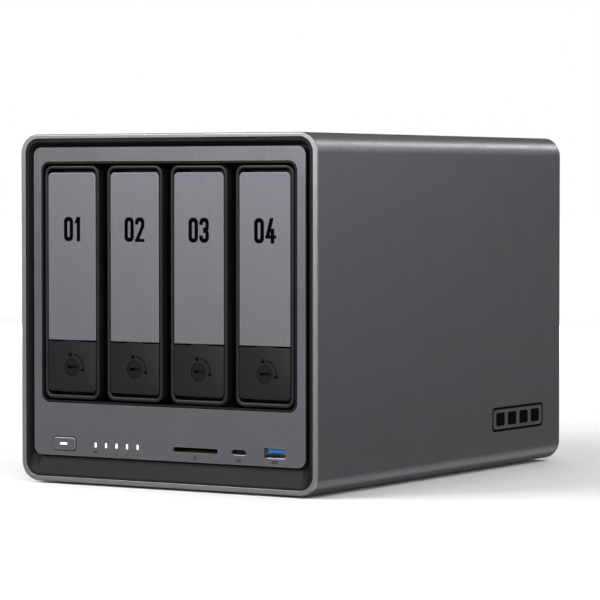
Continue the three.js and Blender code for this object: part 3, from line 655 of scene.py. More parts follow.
def glowing(name, colour, strength):
    """A frosted clear plastic with a light behind it."""
    material = bpy.data.materials.new(name)
    material.use_nodes = True
    tree = material.node_tree
    shader = tree.nodes["Principled BSDF"]
    give(shader, {"Base Color": (0.85, 0.87, 0.9, 1), "Roughness": 0.35, "Emission Strength": strength})
    # The frosting makes the light slightly uneven over each lens.
    place = tree.nodes.new("ShaderNodeTexCoord")
    noise = tree.nodes.new("ShaderNodeTexNoise")
    noise.inputs["Scale"].default_value = 900
    tree.links.new(place.outputs["Object"], noise.inputs["Vector"])
    fade = tree.nodes.new("ShaderNodeMix")
    fade.data_type = "RGBA"
    fade.inputs["A"].default_value = (*(c * 0.85 for c in colour), 1)
    fade.inputs["B"].default_value = (*colour, 1)
    tree.links.new(noise.outputs["Fac"], fade.inputs["Factor"])
    tree.links.new(fade.outputs["Result"], shader.inputs["Emission Color"])
    return material


lamp = glowing("lit_lens", (0.97, 0.98, 1.0), 1.1)
lens = slug("button_lens", LENS_X, STRIP_Z, 4.4, 0.95, 0.45, FACE_FRONT - 0.5, FRONT + 2.9)
ease_edges(lens, 0)
fit(lens, lamp, "power_button", "light_pipe", "power_light")


# ---- Status lights ----
# One clear moulding behind the plate with five prongs, whose frosted ends show as small pills.
pipe_from, pipe_to = (LIGHTS[0] - 2, FRONT + 7, STRIP_Z - 1.2), (LIGHTS[-1] + 2, FRONT + 9, STRIP_Z + 1.2)
pipe = block("status_lights", pipe_from, pipe_to)
for x in LIGHTS:
    combine(pipe, slug("prong", x, STRIP_Z, 1.1, 2.45, 0.45, FACE_FRONT + 0.05, FRONT + 8, 4), "UNION")
ease_edges(pipe, 0)
fit(pipe, lamp, "root", "light_pipe", "status_light_pipe")


# ---- Card slot and USB sockets ----
# Drawn steel shells, plated, open at the front, each with a plastic tongue and gold contacts.
# The card reader is a black moulding with a row of spring contacts in its roof.
plated = blasted("plated_steel", (0.62, 0.61, 0.59), 0.27, 1.0, grain_mm=0.6, tooth=0.01, shift=0.06)
gold = blasted("contact_gold", (0.83, 0.60, 0.28), 0.25, 1.0, grain_mm=0.3, tooth=0.003, shift=0.05)
usb_blue = blasted("tongue_blue", (0.030, 0.205, 0.60), 0.38, 0, grain_mm=0.3, tooth=0.01, shift=0.05)
tongue_black = blasted(
    "tongue_black", (0.009, 0.009, 0.010), 0.5, 0, grain_mm=0.3, tooth=0.01, shift=0.08, gloss=0.25
)


def tinted(part, material):
    """Gives a shape its material, which it keeps when it is joined to others."""
    part.data.materials.append(material)
    return part


def shell(name, x, z, wide, tall, corner, mouth, back, wall=0.35):
    """A plated tube with a closed back, from its mouth at y to its back at y."""
    away = 1 if back > mouth else -1
    ends = sorted((mouth, back))
    part = slug(name, x, z, wide, tall, corner, *ends)
    inner = sorted((mouth - away, back - away * wall))
    combine(part, slug("inside", x, z, wide - 2 * wall, tall - 2 * wall, max(0.1, corner - wall), *inner))
    ease_edges(part, 0.1)
    return tinted(part, plated)


def contacts(x, z, count, pitch, y0, y1, thick=0.12):
    """A row of gold strips whose top is at z, centred on x."""
    strips = []
    for i in range(count):
        middle = x + (i - (count - 1) / 2) * pitch
        strip = block("contact", (middle - 0.32, y0, z - thick), (middle + 0.32, y1, z))
        strips.append(tinted(strip, gold))
    return strips


MOUTH_Y = FACE_BACK + 0.3
usb_a_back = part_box("front_usb_a_socket")[1].y / MM
usb_a = shell("usb_a", USB_A_X, USB_A_Z, 12.8, 5.6, 0.5, MOUTH_Y, usb_a_back, wall=0.5)
tongue = slug("tongue", USB_A_X, USB_A_Z + 1.05, 11.0, 1.9, 0.2, MOUTH_Y + 0.9, usb_a_back - 0.4)
strips = contacts(USB_A_X, USB_A_Z + 0.12, 4, 2.5, MOUTH_Y + 1.6, usb_a_back - 2)
joined(usb_a, tinted(tongue, usb_blue), *strips)
fit(usb_a, plated, "root", "bright_steel", "front_usb_a_socket")

usb_c_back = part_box("front_usb_c_socket")[1].y / MM
usb_c = shell("usb_c", USB_C_X, STRIP_Z, 9.0, 3.3, 1.6, MOUTH_Y, usb_c_back, wall=0.4)
tongue = slug("tongue", USB_C_X, STRIP_Z, 6.6, 0.7, 0.2, MOUTH_Y + 0.8, usb_c_back - 0.4)
joined(usb_c, tinted(tongue, tongue_black))
fit(usb_c, plated, "root", "bright_steel", "front_usb_c_socket")

card_low, card_high = corners_of("card_reader")
card = block("card_slot", (card_low.x, MOUTH_Y, card_low.z), (card_high.x, card_high.y, card_high.z))
combine(card, slug("inside", CARD_X, STRIP_Z, 24.6, 2.3, 0.4, FRONT, card_high.y - 3))
combine(card, slug("mouth", CARD_X, STRIP_Z, 26.4, 2.3, 1.0, FRONT, MOUTH_Y + 1.2))
ease_edges(card, 0.12)
tinted(card, tongue_black)
joined(card, *contacts(CARD_X, STRIP_Z - 0.75, 9, 2.5, MOUTH_Y + 4, MOUTH_Y + 16, 0.2))
fit(card, tongue_black, "root", "bright_steel", "card_reader")


# ---- Drive cage ----
# Folded steel sheet, coated black: a floor and a roof with guide ribs, two sides and three
# dividers. The sheets are plain, so they keep their own shape and only get their coating.
def dress(finish, *names):
    """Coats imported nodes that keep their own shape."""
    for name in names:
        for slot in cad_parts[name].material_slots:
            slot.material = finish


coated_steel = blasted(
    "coated_steel", (0.028, 0.028, 0.030), 0.48, 0.3, grain_mm=0.8, tooth=0.03, shift=0.15, edge=0.3
)
dress(coated_steel, "cage_floor", "cage_roof", "cage_side_left", "cage_side_right")
dress(coated_steel, *(f"cage_divider_{number}" for number in (1, 2, 3)))

# A small sensor lens on the front of the divider between the third and fourth bays.
BAY_X = [sum(v.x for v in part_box(f"tray_{number}_face")) / 2 / MM for number in (1, 2, 3, 4)]
sensor = rod("sensor_lens", ((BAY_X[2] + BAY_X[3]) / 2 + 1.2, FRONT + 9.5, 152.5), 0.95, 3, sides=24)
pick(sensor, "FACE", lambda middle, normal: normal.y < -0.9)
bpy.ops.mesh.bevel(offset=0.3 * MM, segments=3, affect="EDGES")
to_object_mode()
sensor_grey = blasted("sensor_grey", (0.10, 0.10, 0.105), 0.3, 0, grain_mm=0.3, tooth=0.004, shift=0.05)
ease_edges(sensor, 0)
fit(sensor, sensor_grey, "root", "light_pipe")


# ---- Boards and connectors ----
# Glass-fibre boards with green solder mask over copper tracks: a backplane behind the cage with
# a drive connector for each bay, the main board under it, and a narrow board behind the ports.
board_finish = bpy.data.materials.new("solder_mask")
board_finish.use_nodes = True
tree = board_finish.node_tree
shader = tree.nodes["Principled BSDF"]
place = tree.nodes.new("ShaderNodeTexCoord")
tracks = tree.nodes.new("ShaderNodeTexVoronoi")
tracks.distance = "MANHATTAN"
tracks.feature = "F1"
tracks.inputs["Scale"].default_value = 160
tree.links.new(place.outputs["Object"], tracks.inputs["Vector"])
bands = math_node(tree, "PINGPONG", tracks.outputs["Distance"], 0.12)
lines = remap(tree, bands, 0.05, 0.07)
mask_colour = tree.nodes.new("ShaderNodeMix")
mask_colour.data_type = "RGBA"
mask_colour.inputs["A"].default_value = (0.006, 0.040, 0.022, 1)
mask_colour.inputs["B"].default_value = (0.010, 0.075, 0.040, 1)
tree.links.new(lines, mask_colour.inputs["Factor"])
tree.links.new(mask_colour.outputs["Result"], shader.inputs["Base Color"])
raised = tree.nodes.new("ShaderNodeBump")
give(raised, {"Strength": 0.4, "Distance": 0.03 * MM})
tree.links.new(lines, raised.inputs["Height"])
tree.links.new(raised.outputs["Normal"], shader.inputs["Normal"])
shader.inputs["Roughness"].default_value = 0.34
dress(board_finish, "backplane_board", "main_board", "front_io_board", "memory_module", "solid_state_module")

# Chips and capacitors soldered on the boards, and the connectors that the drives plug into.
BOARD_TOP = corners_of("main_board")[1].z
BACKPLANE_FRONT = corners_of("backplane_board")[0].y
parts = []
for x, y, wide, long, tall in (
    (-60, -50, 14, 14, 1.6),
    (-60, 20, 18, 10, 2.2),
    (58, -40, 12, 16, 1.8),
    (56, 10, 20, 20, 1.6),
    (-64, 70, 9, 9, 1.4),
    (62, 60, 10, 14, 2.6),
    (20, -50, 8, 12, 1.4),
    (-20, -52, 16, 8, 1.4),
):
    foot, head = (x - wide / 2, y - long / 2, BOARD_TOP), (x + wide / 2, y + long / 2, BOARD_TOP + tall)
    chip = block("chip", foot, head)
    ease_edges(chip, 0.2)
    parts.append(tinted(chip, tongue_black))
for bay in BAY_X:
    for z in (70, 84, 98):
        chip = block("chip", (bay + 3, BACKPLANE_FRONT - 1, z), (bay + 8, BACKPLANE_FRONT, z + 6))
        parts.append(tinted(chip, tongue_black))
for i in range(6):
    can = rod("capacitor", (-74, -60 + i * 14, BOARD_TOP + 5), 4, 10, along="Z", sides=24)
    ease_edges(can, 0.5, segments=3)
    parts.append(tinted(can, plated))
soldered = joined(*parts)
soldered.name = "board_components"
fit(soldered, tongue_black, "root", "circuit_board")

for number in (1, 2, 3, 4):
    low, high = corners_of(f"drive_connector_{number}")
    plug = block(f"drive_connector_{number}_body", low, high)
    middle = (low.x + high.x) / 2
    for z0, z1 in ((low.z + 4, low.z + 17), (low.z + 19, high.z - 4)):
        combine(plug, block("slot", (middle - 1.2, low.y - 1, z0), (middle + 1.2, low.y + 5, z1)))
        combine(plug, block("key", (middle - 1.2, low.y - 1, z0), (middle + 2.2, low.y + 5, z0 + 1.6)))
    ease_edges(plug, 0.25)
    tinted(plug, tongue_black)
    pins = [
        tinted(block("pin", (middle - 1.3, low.y + 0.8, z), (middle - 1.05, low.y + 5, z + 0.6)), gold)
        for z in (low.z + 6 + 1.27 * k for k in range(22))
        if not low.z + 16 < z < low.z + 20
    ]
    joined(plug, *pins)
    fit(plug, tongue_black, "root", "connector_plastic", f"drive_connector_{number}")


# ---- Processor cooler ----
# A finned aluminium extrusion, sawn to length and clear anodised, screwed over the processor.
cooler_finish = blasted(
    "cooler_extrusion", (0.42, 0.42, 0.43), 0.36, 1.0, grain_mm=0.6, tooth=0.02, shift=0.06
)
dress(cooler_finish, "processor_cooler")


# ---- Drive trays ----
# Each tray is a black moulded carrier that holds one 3.5-inch drive between two rails. Its front
# is a deep ring with a soft rounded rim, and a lever, a release panel and a lock sit inside it.
FIRST = BAY_X[0]
carrier_low, carrier_high = corners_of("tray_1_carrier")
RING_BACK = FRONT + 11
POCKET_BACK = FRONT + 9
POCKET_LOW, POCKET_HIGH = carrier_low.z + 2.1, carrier_high.z - 1.7
RAIL_LOW, RAIL_HIGH = carrier_low.z + 2.2, carrier_high.z - 2.1
PANEL_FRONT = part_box("tray_1_face")[0].y / MM
LEVER_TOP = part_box("tray_1_face")[1].z / MM
SPLIT_GAP = 0.4
SPLIT_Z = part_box("tray_1_face")[0].z / MM - SPLIT_GAP
LOCK_Z = (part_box("tray_1_lock")[0].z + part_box("tray_1_lock")[1].z) / 2 / MM
HINGE_Z = LEVER_TOP - 2.9
CARRIER_HALF, POCKET_HALF, LEVER_HALF, PANEL_HALF, TAB_HALF = 16.9, 15, 14.4, 14.7, 4.7


def stand(name, x0, x1, z0, z1, y0, y1, corner=0, wanted=lambda middle: True, segments=6):
    """A block in the first bay, its X measured from the bay's middle, with rounded front corners."""
    part = block(name, (FIRST + x0, y0, z0), (FIRST + x1, y1, z1))
    if corner:
        round_along(part, 1, corner, segments, wanted)
    return part


def across_bay(name, half, z0, z1, y0, y1, corner=0, wanted=lambda middle: True, segments=6):
    """A block that reaches as far to the left of the bay's middle as to the right."""
    return stand(name, -half, half, z0, z1, y0, y1, corner, wanted, segments)


CARRIER_LOW, CARRIER_HIGH = carrier_low.z, carrier_high.z
carrier = across_bay(
    "carrier", CARRIER_HALF, CARRIER_LOW, CARRIER_HIGH, carrier_low.y, RING_BACK, 4.5, segments=10
)
pocket = across_bay("pocket", POCKET_HALF, POCKET_LOW, POCKET_HIGH, FRONT - 1, POCKET_BACK, 2.8, segments=8)
combine(carrier, pocket)
ease_edges(carrier, 0.75, segments=4)
for z in (88, 104, 120, 136):
    combine(carrier, across_bay("vent", 10, z, z + 8, POCKET_BACK - 1, RING_BACK + 1, 3))
RAIL_BACK, RAIL_LEFT, DRIVE_HALF = carrier_high.y, -14.5, 51.15
middle_z = (CARRIER_LOW + CARRIER_HIGH) / 2
drive_low, drive_high = middle_z - DRIVE_HALF, middle_z + DRIVE_HALF
for z0, z1 in ((RAIL_LOW, drive_low), (drive_high, RAIL_HIGH)):
    combine(carrier, stand("rail", RAIL_LEFT, 14, z0, z1, RING_BACK - 1, RAIL_BACK), "UNION")
side = stand("side", RAIL_LEFT, RAIL_LEFT + 1.6, RAIL_LOW, RAIL_HIGH, RING_BACK - 1, RAIL_BACK)
combine(carrier, side, "UNION")
for y in (24, 56, 88, 120):
    window = block("window", (FIRST - 16, FRONT + y, 62), (FIRST - 12, FRONT + y + 20, 145))
    round_along(window, 0, 4)
    combine(carrier, window)
for y in (34, 78, 122):
    for z, up in ((drive_low, 1), (drive_high, -1)):
        stud = rod("stud", (FIRST, FRONT + y, z + up * 0.1), 2.4, 1.4, along="Z", sides=20)
        combine(carrier, stud, "UNION")
ease_edges(carrier, 0)

# The lever: a ribbed black moulding that turns on two trunnions near its top, faced with a thin
# blasted aluminium plate that carries the number of the bay.
LEVER_LOW = corners_of("tray_1_lever")[0].z
LEVER_FRONT, LEVER_BACK = PANEL_FRONT + 1.1, PANEL_FRONT + 2.7
at_top = lambda middle: middle.z > 100
lever = across_bay("lever", LEVER_HALF, LEVER_LOW, LEVER_TOP - 0.3, LEVER_FRONT, LEVER_BACK, 2.1, at_top)
for side in (-1, 1):
    x0, x1 = sorted((side * LEVER_HALF, side * 12.8))
    rib = stand("rib", x0, x1, SPLIT_Z + 14.4, LEVER_TOP - 2.6, PANEL_FRONT + 2, FRONT + 6.4)
    combine(lever, rib, "UNION")
trunnion = rod("trunnion", (FIRST, FRONT + 4.2, HINGE_Z), 1.5, 32, along="X", sides=32)
combine(lever, trunnion, "UNION")
ease_edges(lever, 0.2)

# The paler outer edges of this finish are a painted highlight along them.
tray_finish = blasted(
    "tray_anodised", (0.205, 0.200, 0.226), 0.46, 0.7, grain_mm=0.7, tooth=0.05, shift=0.15, edge=0.8
)
TRAY_FACE_BACK = PANEL_FRONT + 0.8
tray_face = across_bay(
    "face", PANEL_HALF, SPLIT_Z + SPLIT_GAP, LEVER_TOP, PANEL_FRONT, TRAY_FACE_BACK, 2.4, at_top, 8
)
ease_edges(tray_face, 0.32)

# The release panel: a black moulding with a low tab in front of its catch and a hole for the lock.
LOCK_RADIUS, LOCK_GAP = 4.5, 0.15
CATCH_BACK = FRONT + 5.8
RELEASE_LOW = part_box("tray_1_release")[0].z / MM
at_foot = lambda middle: middle.z < 60
release = across_bay(
    "release", PANEL_HALF, RELEASE_LOW, SPLIT_Z - SPLIT_GAP, PANEL_FRONT, PANEL_FRONT + 3, 2, at_foot, 8
)
tab = across_bay("tab", TAB_HALF, SPLIT_Z - 2, SPLIT_Z + 0.15, PANEL_FRONT + 0.1, PANEL_FRONT + 2.6)
combine(release, tab, "UNION")
ease_edges(release, 0.35, segments=3)
combine(release, rod("lock_hole", (FIRST, PANEL_FRONT, LOCK_Z), LOCK_RADIUS + LOCK_GAP, 20, sides=64))
catch = across_bay("catch", TAB_HALF, SPLIT_Z - 5, SPLIT_Z - 0.5, PANEL_FRONT + 2.7, CATCH_BACK)
hook = across_bay("hook", TAB_HALF, SPLIT_Z - 1.4, SPLIT_Z + 2.6, FRONT + 4.6, CATCH_BACK)
joined(catch, hook)
ease_edges(catch, 0.2)
joined(release, catch)

# The lock: a black barrel level with the panel, with a straight slot for a key or a coin.
lock_middle, lock_length = (PANEL_FRONT + 0.3 + FRONT + 6.4) / 2, FRONT + 6.1 - PANEL_FRONT
lock = rod("lock", (FIRST, lock_middle, LOCK_Z), LOCK_RADIUS, lock_length, sides=64)
combine(lock, across_bay("key_slot", 3, LOCK_Z - 0.75, LOCK_Z + 0.75, FRONT - 1, PANEL_FRONT + 2.4, 0.3))
ease_edges(lock, 0.12)
barrel_black = blasted(
    "barrel_black", (0.0042, 0.0042, 0.005), 0.45, 0, grain_mm=0.4, tooth=0.02, shift=0.08, gloss=0.2
)

# Printed on the release panel: an arc from an open padlock above the barrel to a shut one beside it.
ARC_RADIUS, ARC_LINE = 6.7, 0.24
arc = rod("arc", (FIRST, PANEL_FRONT, LOCK_Z), ARC_RADIUS + ARC_LINE, 2 * INK_LIFT, sides=96)
combine(arc, rod("inside", (FIRST, PANEL_FRONT, LOCK_Z), ARC_RADIUS - ARC_LINE, 2, sides=96))
quarter = stand("quarter", 0.7, 9, LOCK_Z + 0.9, LOCK_Z + 10, PANEL_FRONT - 1, PANEL_FRONT + 1)
combine(arc, quarter, "INTERSECT")


def padlock(x, z, open_by):
    """A printed padlock: a body, and a shackle lifted by open_by."""
    ink_front, ink_back = PANEL_FRONT - INK_LIFT, PANEL_FRONT + INK_LIFT
    body = stand("padlock", x - 1, x + 1, z - 0.9, z + 0.4, ink_front, ink_back, 0.15)
    centre = (FIRST + x + open_by, PANEL_FRONT, z + 0.5 + open_by)
    shackle = rod("shackle", centre, 0.75, 2 * INK_LIFT, sides=24)
    combine(shackle, rod("inside", centre, 0.35, 2, sides=24))
    upper = stand("upper", x - 2, x + 3, centre[2] - 0.05, z + 3, PANEL_FRONT - 1, PANEL_FRONT + 1)
    combine(shackle, upper, "INTERSECT")
    return joined(body, shackle)


symbols = joined(arc, padlock(-1.1, LOCK_Z + 6.4, 0), padlock(6.5, LOCK_Z - 1.0, 0.25))
bpy.ops.object.select_all(action="DESELECT")


def in_each_bay(first, name, material, body, slot, node, stands_for=True):
    """Puts a copy of a piece of the first bay in each of the others, each on its own body."""
    made = [first]
    for x in BAY_X[1:]:
        only(first)
        bpy.ops.object.duplicate(linked=False)
        copy = bpy.context.object
        copy.location.x = (x - FIRST) * MM
        bpy.ops.object.transform_apply(location=True)
        made.append(copy)
    for i, piece in enumerate(made):
        piece.name = f"{name}_{i + 1}"
        replaced = [node.format(i + 1)] if stands_for else []
        fit(piece, material, body.format(i + 1), slot, *replaced)


ring_black = blasted(
    "ring_black", (0.0135, 0.0135, 0.014), 0.34, 0, grain_mm=0.5, tooth=0.02, shift=0.1, gloss=0.42
)
in_each_bay(carrier, "tray_carrier", ring_black, "tray_{}", "tray_plastic", "tray_{}_carrier")
in_each_bay(lever, "tray_lever", moulded, "lever_{}", "tray_plastic", "tray_{}_lever")
in_each_bay(tray_face, "tray_face_plate", tray_finish, "lever_{}", "face_metal", "tray_{}_face")
in_each_bay(release, "tray_release", moulded, "release_{}", "tray_plastic", "tray_{}_release")
in_each_bay(lock, "tray_lock", barrel_black, "lock_{}", "lock_barrel", "tray_{}_lock")
in_each_bay(symbols, "lock_symbols", print_black, "release_{}", "tray_plastic", "", stands_for=False)

# The bay numbers, printed black: plain condensed figures, drawn with one even stroke.
FIGURE = {"tall": 12.4, "wide": 5.7, "stroke": 2.1, "apart": 0.75, "z": LEVER_TOP - 28.6}
INK_BACK, INK_FRONT = PANEL_FRONT + 0.2, PANEL_FRONT - INK_LIFT


def stroke_block(x0, x1, z0, z1, corner=0):
    """A patch of ink as thin as print."""
    part = block("stroke", (x0, INK_FRONT, z0), (x1, INK_BACK, z1))
    if corner:
        round_along(part, 1, corner, 6)
    return part


def loop(x, z0, z1):
    """A rounded loop of one stroke, the width of a figure, from z0 up to z1."""
    half, stroke = FIGURE["wide"] / 2, FIGURE["stroke"]
    part = stroke_block(x - half, x + half, z0, z1, 2.5)
    inner_from = (x - half + stroke, INK_FRONT - 1, z0 + stroke)
    inner_to = (x + half - stroke, INK_BACK + 1, z1 - stroke)
    inner = block("inner", inner_from, inner_to)
    round_along(inner, 1, 0.7, 5)
    combine(part, inner)
    return part


def slant(x0, z0, x1, z1, wide):
    """A stroke of one width that leans from its foot at x0 to its head at x1."""
    part = stroke_block(x0, x0 + wide, z0, z1)
    pick(part, "VERT", lambda place: place.z > (z0 + z1) / 2)
    bpy.ops.transform.translate(value=((x1 - x0) * MM, 0, 0))
    to_object_mode()
    return part


def clear(part, x0, x1, z0, z1):
    """Takes away what a figure doesn't need of a loop."""
    combine(part, block("clear", (x0, INK_FRONT - 1, z0), (x1, INK_BACK + 1, z1)))


def figure(value, x, z):
    """One figure whose left edge is at x and whose foot is at z."""
    wide, tall, stroke = FIGURE["wide"], FIGURE["tall"], FIGURE["stroke"]
    middle = x + wide / 2
    if value == 0:
        return loop(middle, z, z + tall)
    if value == 1:
        part = stroke_block(x + 1.5, x + 1.5 + stroke, z, z + tall)
        combine(part, slant(x, z + tall - 3.2, x + 1.5, z + tall, stroke), "UNION")
        return part
    if value == 2:
        part = loop(middle, z + tall - 6.8, z + tall)
        clear(part, x - 1, middle + 0.4, z + tall - 8, z + tall - 3.6)
        clear(part, middle, x + wide + 1, z + tall - 8, z + tall - 4.6)
        combine(part, slant(x, z + 0.8, x + wide - stroke, z + tall - 4.4, stroke + 0.1), "UNION")
        combine(part, stroke_block(x, x + wide, z, z + 1.6), "UNION")
        return part
    if value == 3:
        part = loop(middle, z + tall / 2 - 0.8, z + tall)
        combine(part, loop(middle, z, z + tall / 2 + 0.8), "UNION")
        clear(part, x - 1, x + stroke + 0.1, z + 3.6, z + tall - 3.6)
        return part
    part = stroke_block(x + 3.1, x + 3.1 + stroke, z, z + 7.2)
    combine(part, slant(x, z + 2.7, x + 2.6, z + tall, stroke + 0.1), "UNION")
    combine(part, stroke_block(x, x + wide + 0.6, z + 2.4, z + 4.0), "UNION")
    return part


for number, x in enumerate(BAY_X, 1):
    second_wide = 3.3 if number == 1 else FIGURE["wide"]
    left = x - (FIGURE["wide"] + FIGURE["apart"] + second_wide) / 2
    foot = FIGURE["z"] - FIGURE["tall"] / 2
    pair = joined(figure(0, left, foot), figure(number, left + FIGURE["wide"] + FIGURE["apart"], foot))
    pair.name = f"bay_number_{number}"
    fit(pair, print_black, f"lever_{number}", "black_plastic")


# ---- Rear panel ----
# A black moulding pushed into the sleeve's back end and set in a little. It carries the fan, opens
# for each socket and breathes through a column of slots down each side.
panel_low, panel_high = corners_of("rear_panel")
PANEL_IN, PANEL_BACK = panel_low.y, panel_high.y
fan_low, fan_high = corners_of("fan_frame")
FAN_Z = (fan_low.z + fan_high.z) / 2
SOCKET_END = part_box("rear_usb_stack")[1].y / MM
reset_low, reset_high = corners_of("reset_button")
RESET_X, RESET_Z = (reset_low.x + reset_high.x) / 2, (reset_low.z + reset_high.z) / 2
inlet_low, inlet_high = corners_of("power_inlet")
INLET_RADIUS = 4
INLET_X, INLET_Z = (inlet_low.x + inlet_high.x) / 2, inlet_high.z - INLET_RADIUS


def through_panel(name, x, z, wide, tall, corner):
    """A cutter that passes right through the rear panel."""
    return slug(name, x, z, wide, tall, corner, PANEL_IN - 1, PANEL_BACK + 1)


def window_for(node, room=0.3):
    """A cutter for the window that a socket looks out of, with room round it."""
    low, high = corners_of(node)
    middle, size = (low + high) / 2, high - low
    return through_panel("window", middle.x, middle.z, size.x + 2 * room, size.z + 2 * room, 0.4)


rear = framed("rear", panel_high.x, panel_low.z, panel_high.z, PANEL_IN, PANEL_BACK, 7.3, 12)
FAN_OPENING = 66
combine(rear, rod("fan_hole", (0, PANEL_BACK, FAN_Z), FAN_OPENING, 20, sides=96))
VENT_X, VENT_LOW, VENT_PITCH, VENT_WIDE, VENT_TALL = 77.5, 46, 7.2, 9.5, 2.8
vents = [
    through_panel("vent", side * VENT_X, VENT_LOW + i * VENT_PITCH, VENT_WIDE, VENT_TALL, 1.35)
    for side in (-1, 1)
    for i in range(16)
]
combine(rear, joined(*vents))
ports = [window_for(node) for node in ("hdmi_socket", "rear_usb_stack", "lan_sockets")]
ports.append(rod("inlet_hole", (INLET_X, PANEL_BACK, INLET_Z), INLET_RADIUS + 0.4, 20))
ports.append(rod("reset_hole", (RESET_X, PANEL_BACK, RESET_Z), 1.9, 20, sides=32))
ports.append(through_panel("lock_slot", -66.5, 20, 7, 3, 1))
combine(rear, joined(*ports))
FAN_HOLE_HALF = 62.5
FAN_SCREWS = [(x * FAN_HOLE_HALF, FAN_Z + z * FAN_HOLE_HALF) for x in (-1, 1) for z in (-1, 1)]
sinks = [rod("sink", (x, PANEL_BACK, z), 3.3, 1.6, sides=32) for x, z in FAN_SCREWS]
combine(rear, joined(*sinks))
ease_edges(rear, 0.25)
fit(rear, moulded, "root", "black_plastic", "rear_panel")

# Plain symbols pressed into the strip over the sockets, filled with grey paint.
paint_grey = blasted(
    "paint_grey", (0.30, 0.30, 0.31), 0.6, 0, grain_mm=0.2, tooth=0.004, shift=0.05, gloss=0.2
)
MARK_BACK, MARK_FRONT = PANEL_BACK + 0.04, PANEL_BACK - 0.3


def rear_mark(x, z, wide, tall, corner):
    """A patch of paint on the rear panel."""
    return slug("rear_mark", x, z, wide, tall, corner, MARK_FRONT, MARK_BACK)


def rear_outline(x, z, wide, tall, corner, line=0.35):
    """A painted outline on the rear panel."""
    mark = rear_mark(x, z, wide, tall, corner)
    hole = slug("inside", x, z, wide - 2 * line, tall - 2 * line, max(0.1, corner - line), PANEL_IN, REAR)
    combine(mark, hole)
    return mark


REAR_MARK_Z = 32.2
rear_marks = [
    rear_outline(INLET_X, REAR_MARK_Z, 2.8, 2.8, 1.39),
    rear_mark(INLET_X, REAR_MARK_Z, 0.9, 0.9, 0.44),
    rear_outline(48, REAR_MARK_Z, 4.0, 1.8, 0.4),
    rear_outline(22, REAR_MARK_Z + 1, 3.4, 1.4, 0.2),
    rear_mark(22, REAR_MARK_Z + 1.05, 2.2, 0.3, 0.1),
    *(rear_outline(x, REAR_MARK_Z, 2.4, 2.0, 0.2) for x in (-8.1, -23.9)),
    *(rear_mark(x, REAR_MARK_Z - 1.4, 1.2, 0.4, 0.1) for x in (-8.1, -23.9)),
    rear_outline(RESET_X, REAR_MARK_Z - 6, 2.2, 2.2, 1.09),
]
rear_symbols = joined(*rear_marks)
rear_symbols.name = "rear_symbols"
fit(rear_symbols, paint_grey, "root", "black_plastic")


# ---- Screws ----
# Black zinc machine screws with a cross recess: four in the corners of the rear panel, and four
# sunk in it that hold the fan. They are shown only: the panel stands in for them in the model.
screw_black = blasted(
    "screw_black", (0.02, 0.02, 0.022), 0.32, 0.7, grain_mm=0.4, tooth=0.01, shift=0.08, edge=0.3
)


def screw(place, radius, tall, along, outward):
    """A screw head at a place on a surface, which stands out of it by tall."""
    axis = "XYZ".index(along)
    middle = list(place)
    middle[axis] += outward * (tall - 0.9) / 2
    head = rod("screw", middle, radius, tall + 0.9, along=along, sides=32)
    top = place[axis] + outward * tall
    round_rim(head, axis, top, min(0.35, tall * 0.6 + 0.1), 3)
    for long_axis in (i for i in range(3) if i != axis):
        half = [radius * 0.16] * 3
        half[long_axis] = radius * 0.58
        half[axis] = 0.7
        centre = list(place)
        centre[axis] = top
        low = [c - h for c, h in zip(centre, half)]
        high = [c + h for c, h in zip(centre, half)]
        combine(head, block("recess", low, high))
    ease_edges(head, 0)
    return head


CORNER_SCREWS = [(x, z) for x in (-79, 79) for z in (33, 168)]
screws = [screw((x, PANEL_BACK, z), 2.9, 1.1, "Y", 1) for x, z in CORNER_SCREWS]
screws += [screw((x, PANEL_BACK, z), 3.0, 0.05, "Y", 1) for x, z in FAN_SCREWS]
rear_screws = joined(*screws)
rear_screws.name = "rear_screws"
fit(rear_screws, screw_black, "root", "bright_steel")


# ---- Fan ----
# A 140 mm fan: a glass-filled frame with a flange at each face, a round tunnel and four struts to
# the motor, and a seven-bladed rotor moulded in one with its hub.
def turned(part, angle):
    """Turns a part's mesh about the fan's axis."""
    pick(part, "VERT", lambda place: True)
    bpy.ops.transform.rotate(value=angle, orient_axis="Y", center_override=(0, 0, FAN_Z * MM))
    to_object_mode()
    return part


FAN_SIDE = fan_high.x - fan_low.x
FAN_MID = (fan_low.y + fan_high.y) / 2
TUNNEL, TUNNEL_WALL, FLANGE = 67.5, 1.9, 4.5
fan = slug("fan_housing", 0, FAN_Z, FAN_SIDE, FAN_SIDE, 6, fan_low.y, fan_high.y, 8)
waist = slug("waist", 0, FAN_Z, FAN_SIDE + 8, FAN_SIDE + 8, 1, fan_low.y + FLANGE, fan_high.y - FLANGE)
combine(waist, rod("hoop", (0, FAN_MID, FAN_Z), TUNNEL + TUNNEL_WALL, 40, sides=96))
combine(fan, waist)
combine(fan, rod("tunnel", (0, FAN_MID, FAN_Z), TUNNEL, 40, sides=96))
for x, z in FAN_SCREWS:
    combine(fan, rod("screw_hole", (x, fan_high.y, z), 2.2, 60, sides=24))
motor_plate = rod("motor_plate", (0, fan_high.y - 1.5, FAN_Z), 21, 3, sides=64)
pick(motor_plate, "FACE", lambda middle, normal: normal.y > 0.9)
bpy.ops.mesh.inset(thickness=2.2 * MM)
bpy.ops.mesh.inset(thickness=0.5 * MM, depth=-0.5 * MM)
to_object_mode()
combine(fan, motor_plate, "UNION")
for quarter in range(4):
    strut = block("strut", (19.5, fan_high.y - 2.4, FAN_Z - 2), (68.4, fan_high.y, FAN_Z + 2))
    round_along(strut, 0, 0.9, 3)
    combine(fan, turned(strut, radians(45 + 90 * quarter)), "UNION")
ease_edges(fan, 0, angle=35)
fan_black = blasted(
    "fan_black", (0.012, 0.012, 0.013), 0.42, 0, grain_mm=0.6, tooth=0.03, shift=0.1, gloss=0.3
)
fit(fan, fan_black, "root", "black_plastic", "fan_frame")

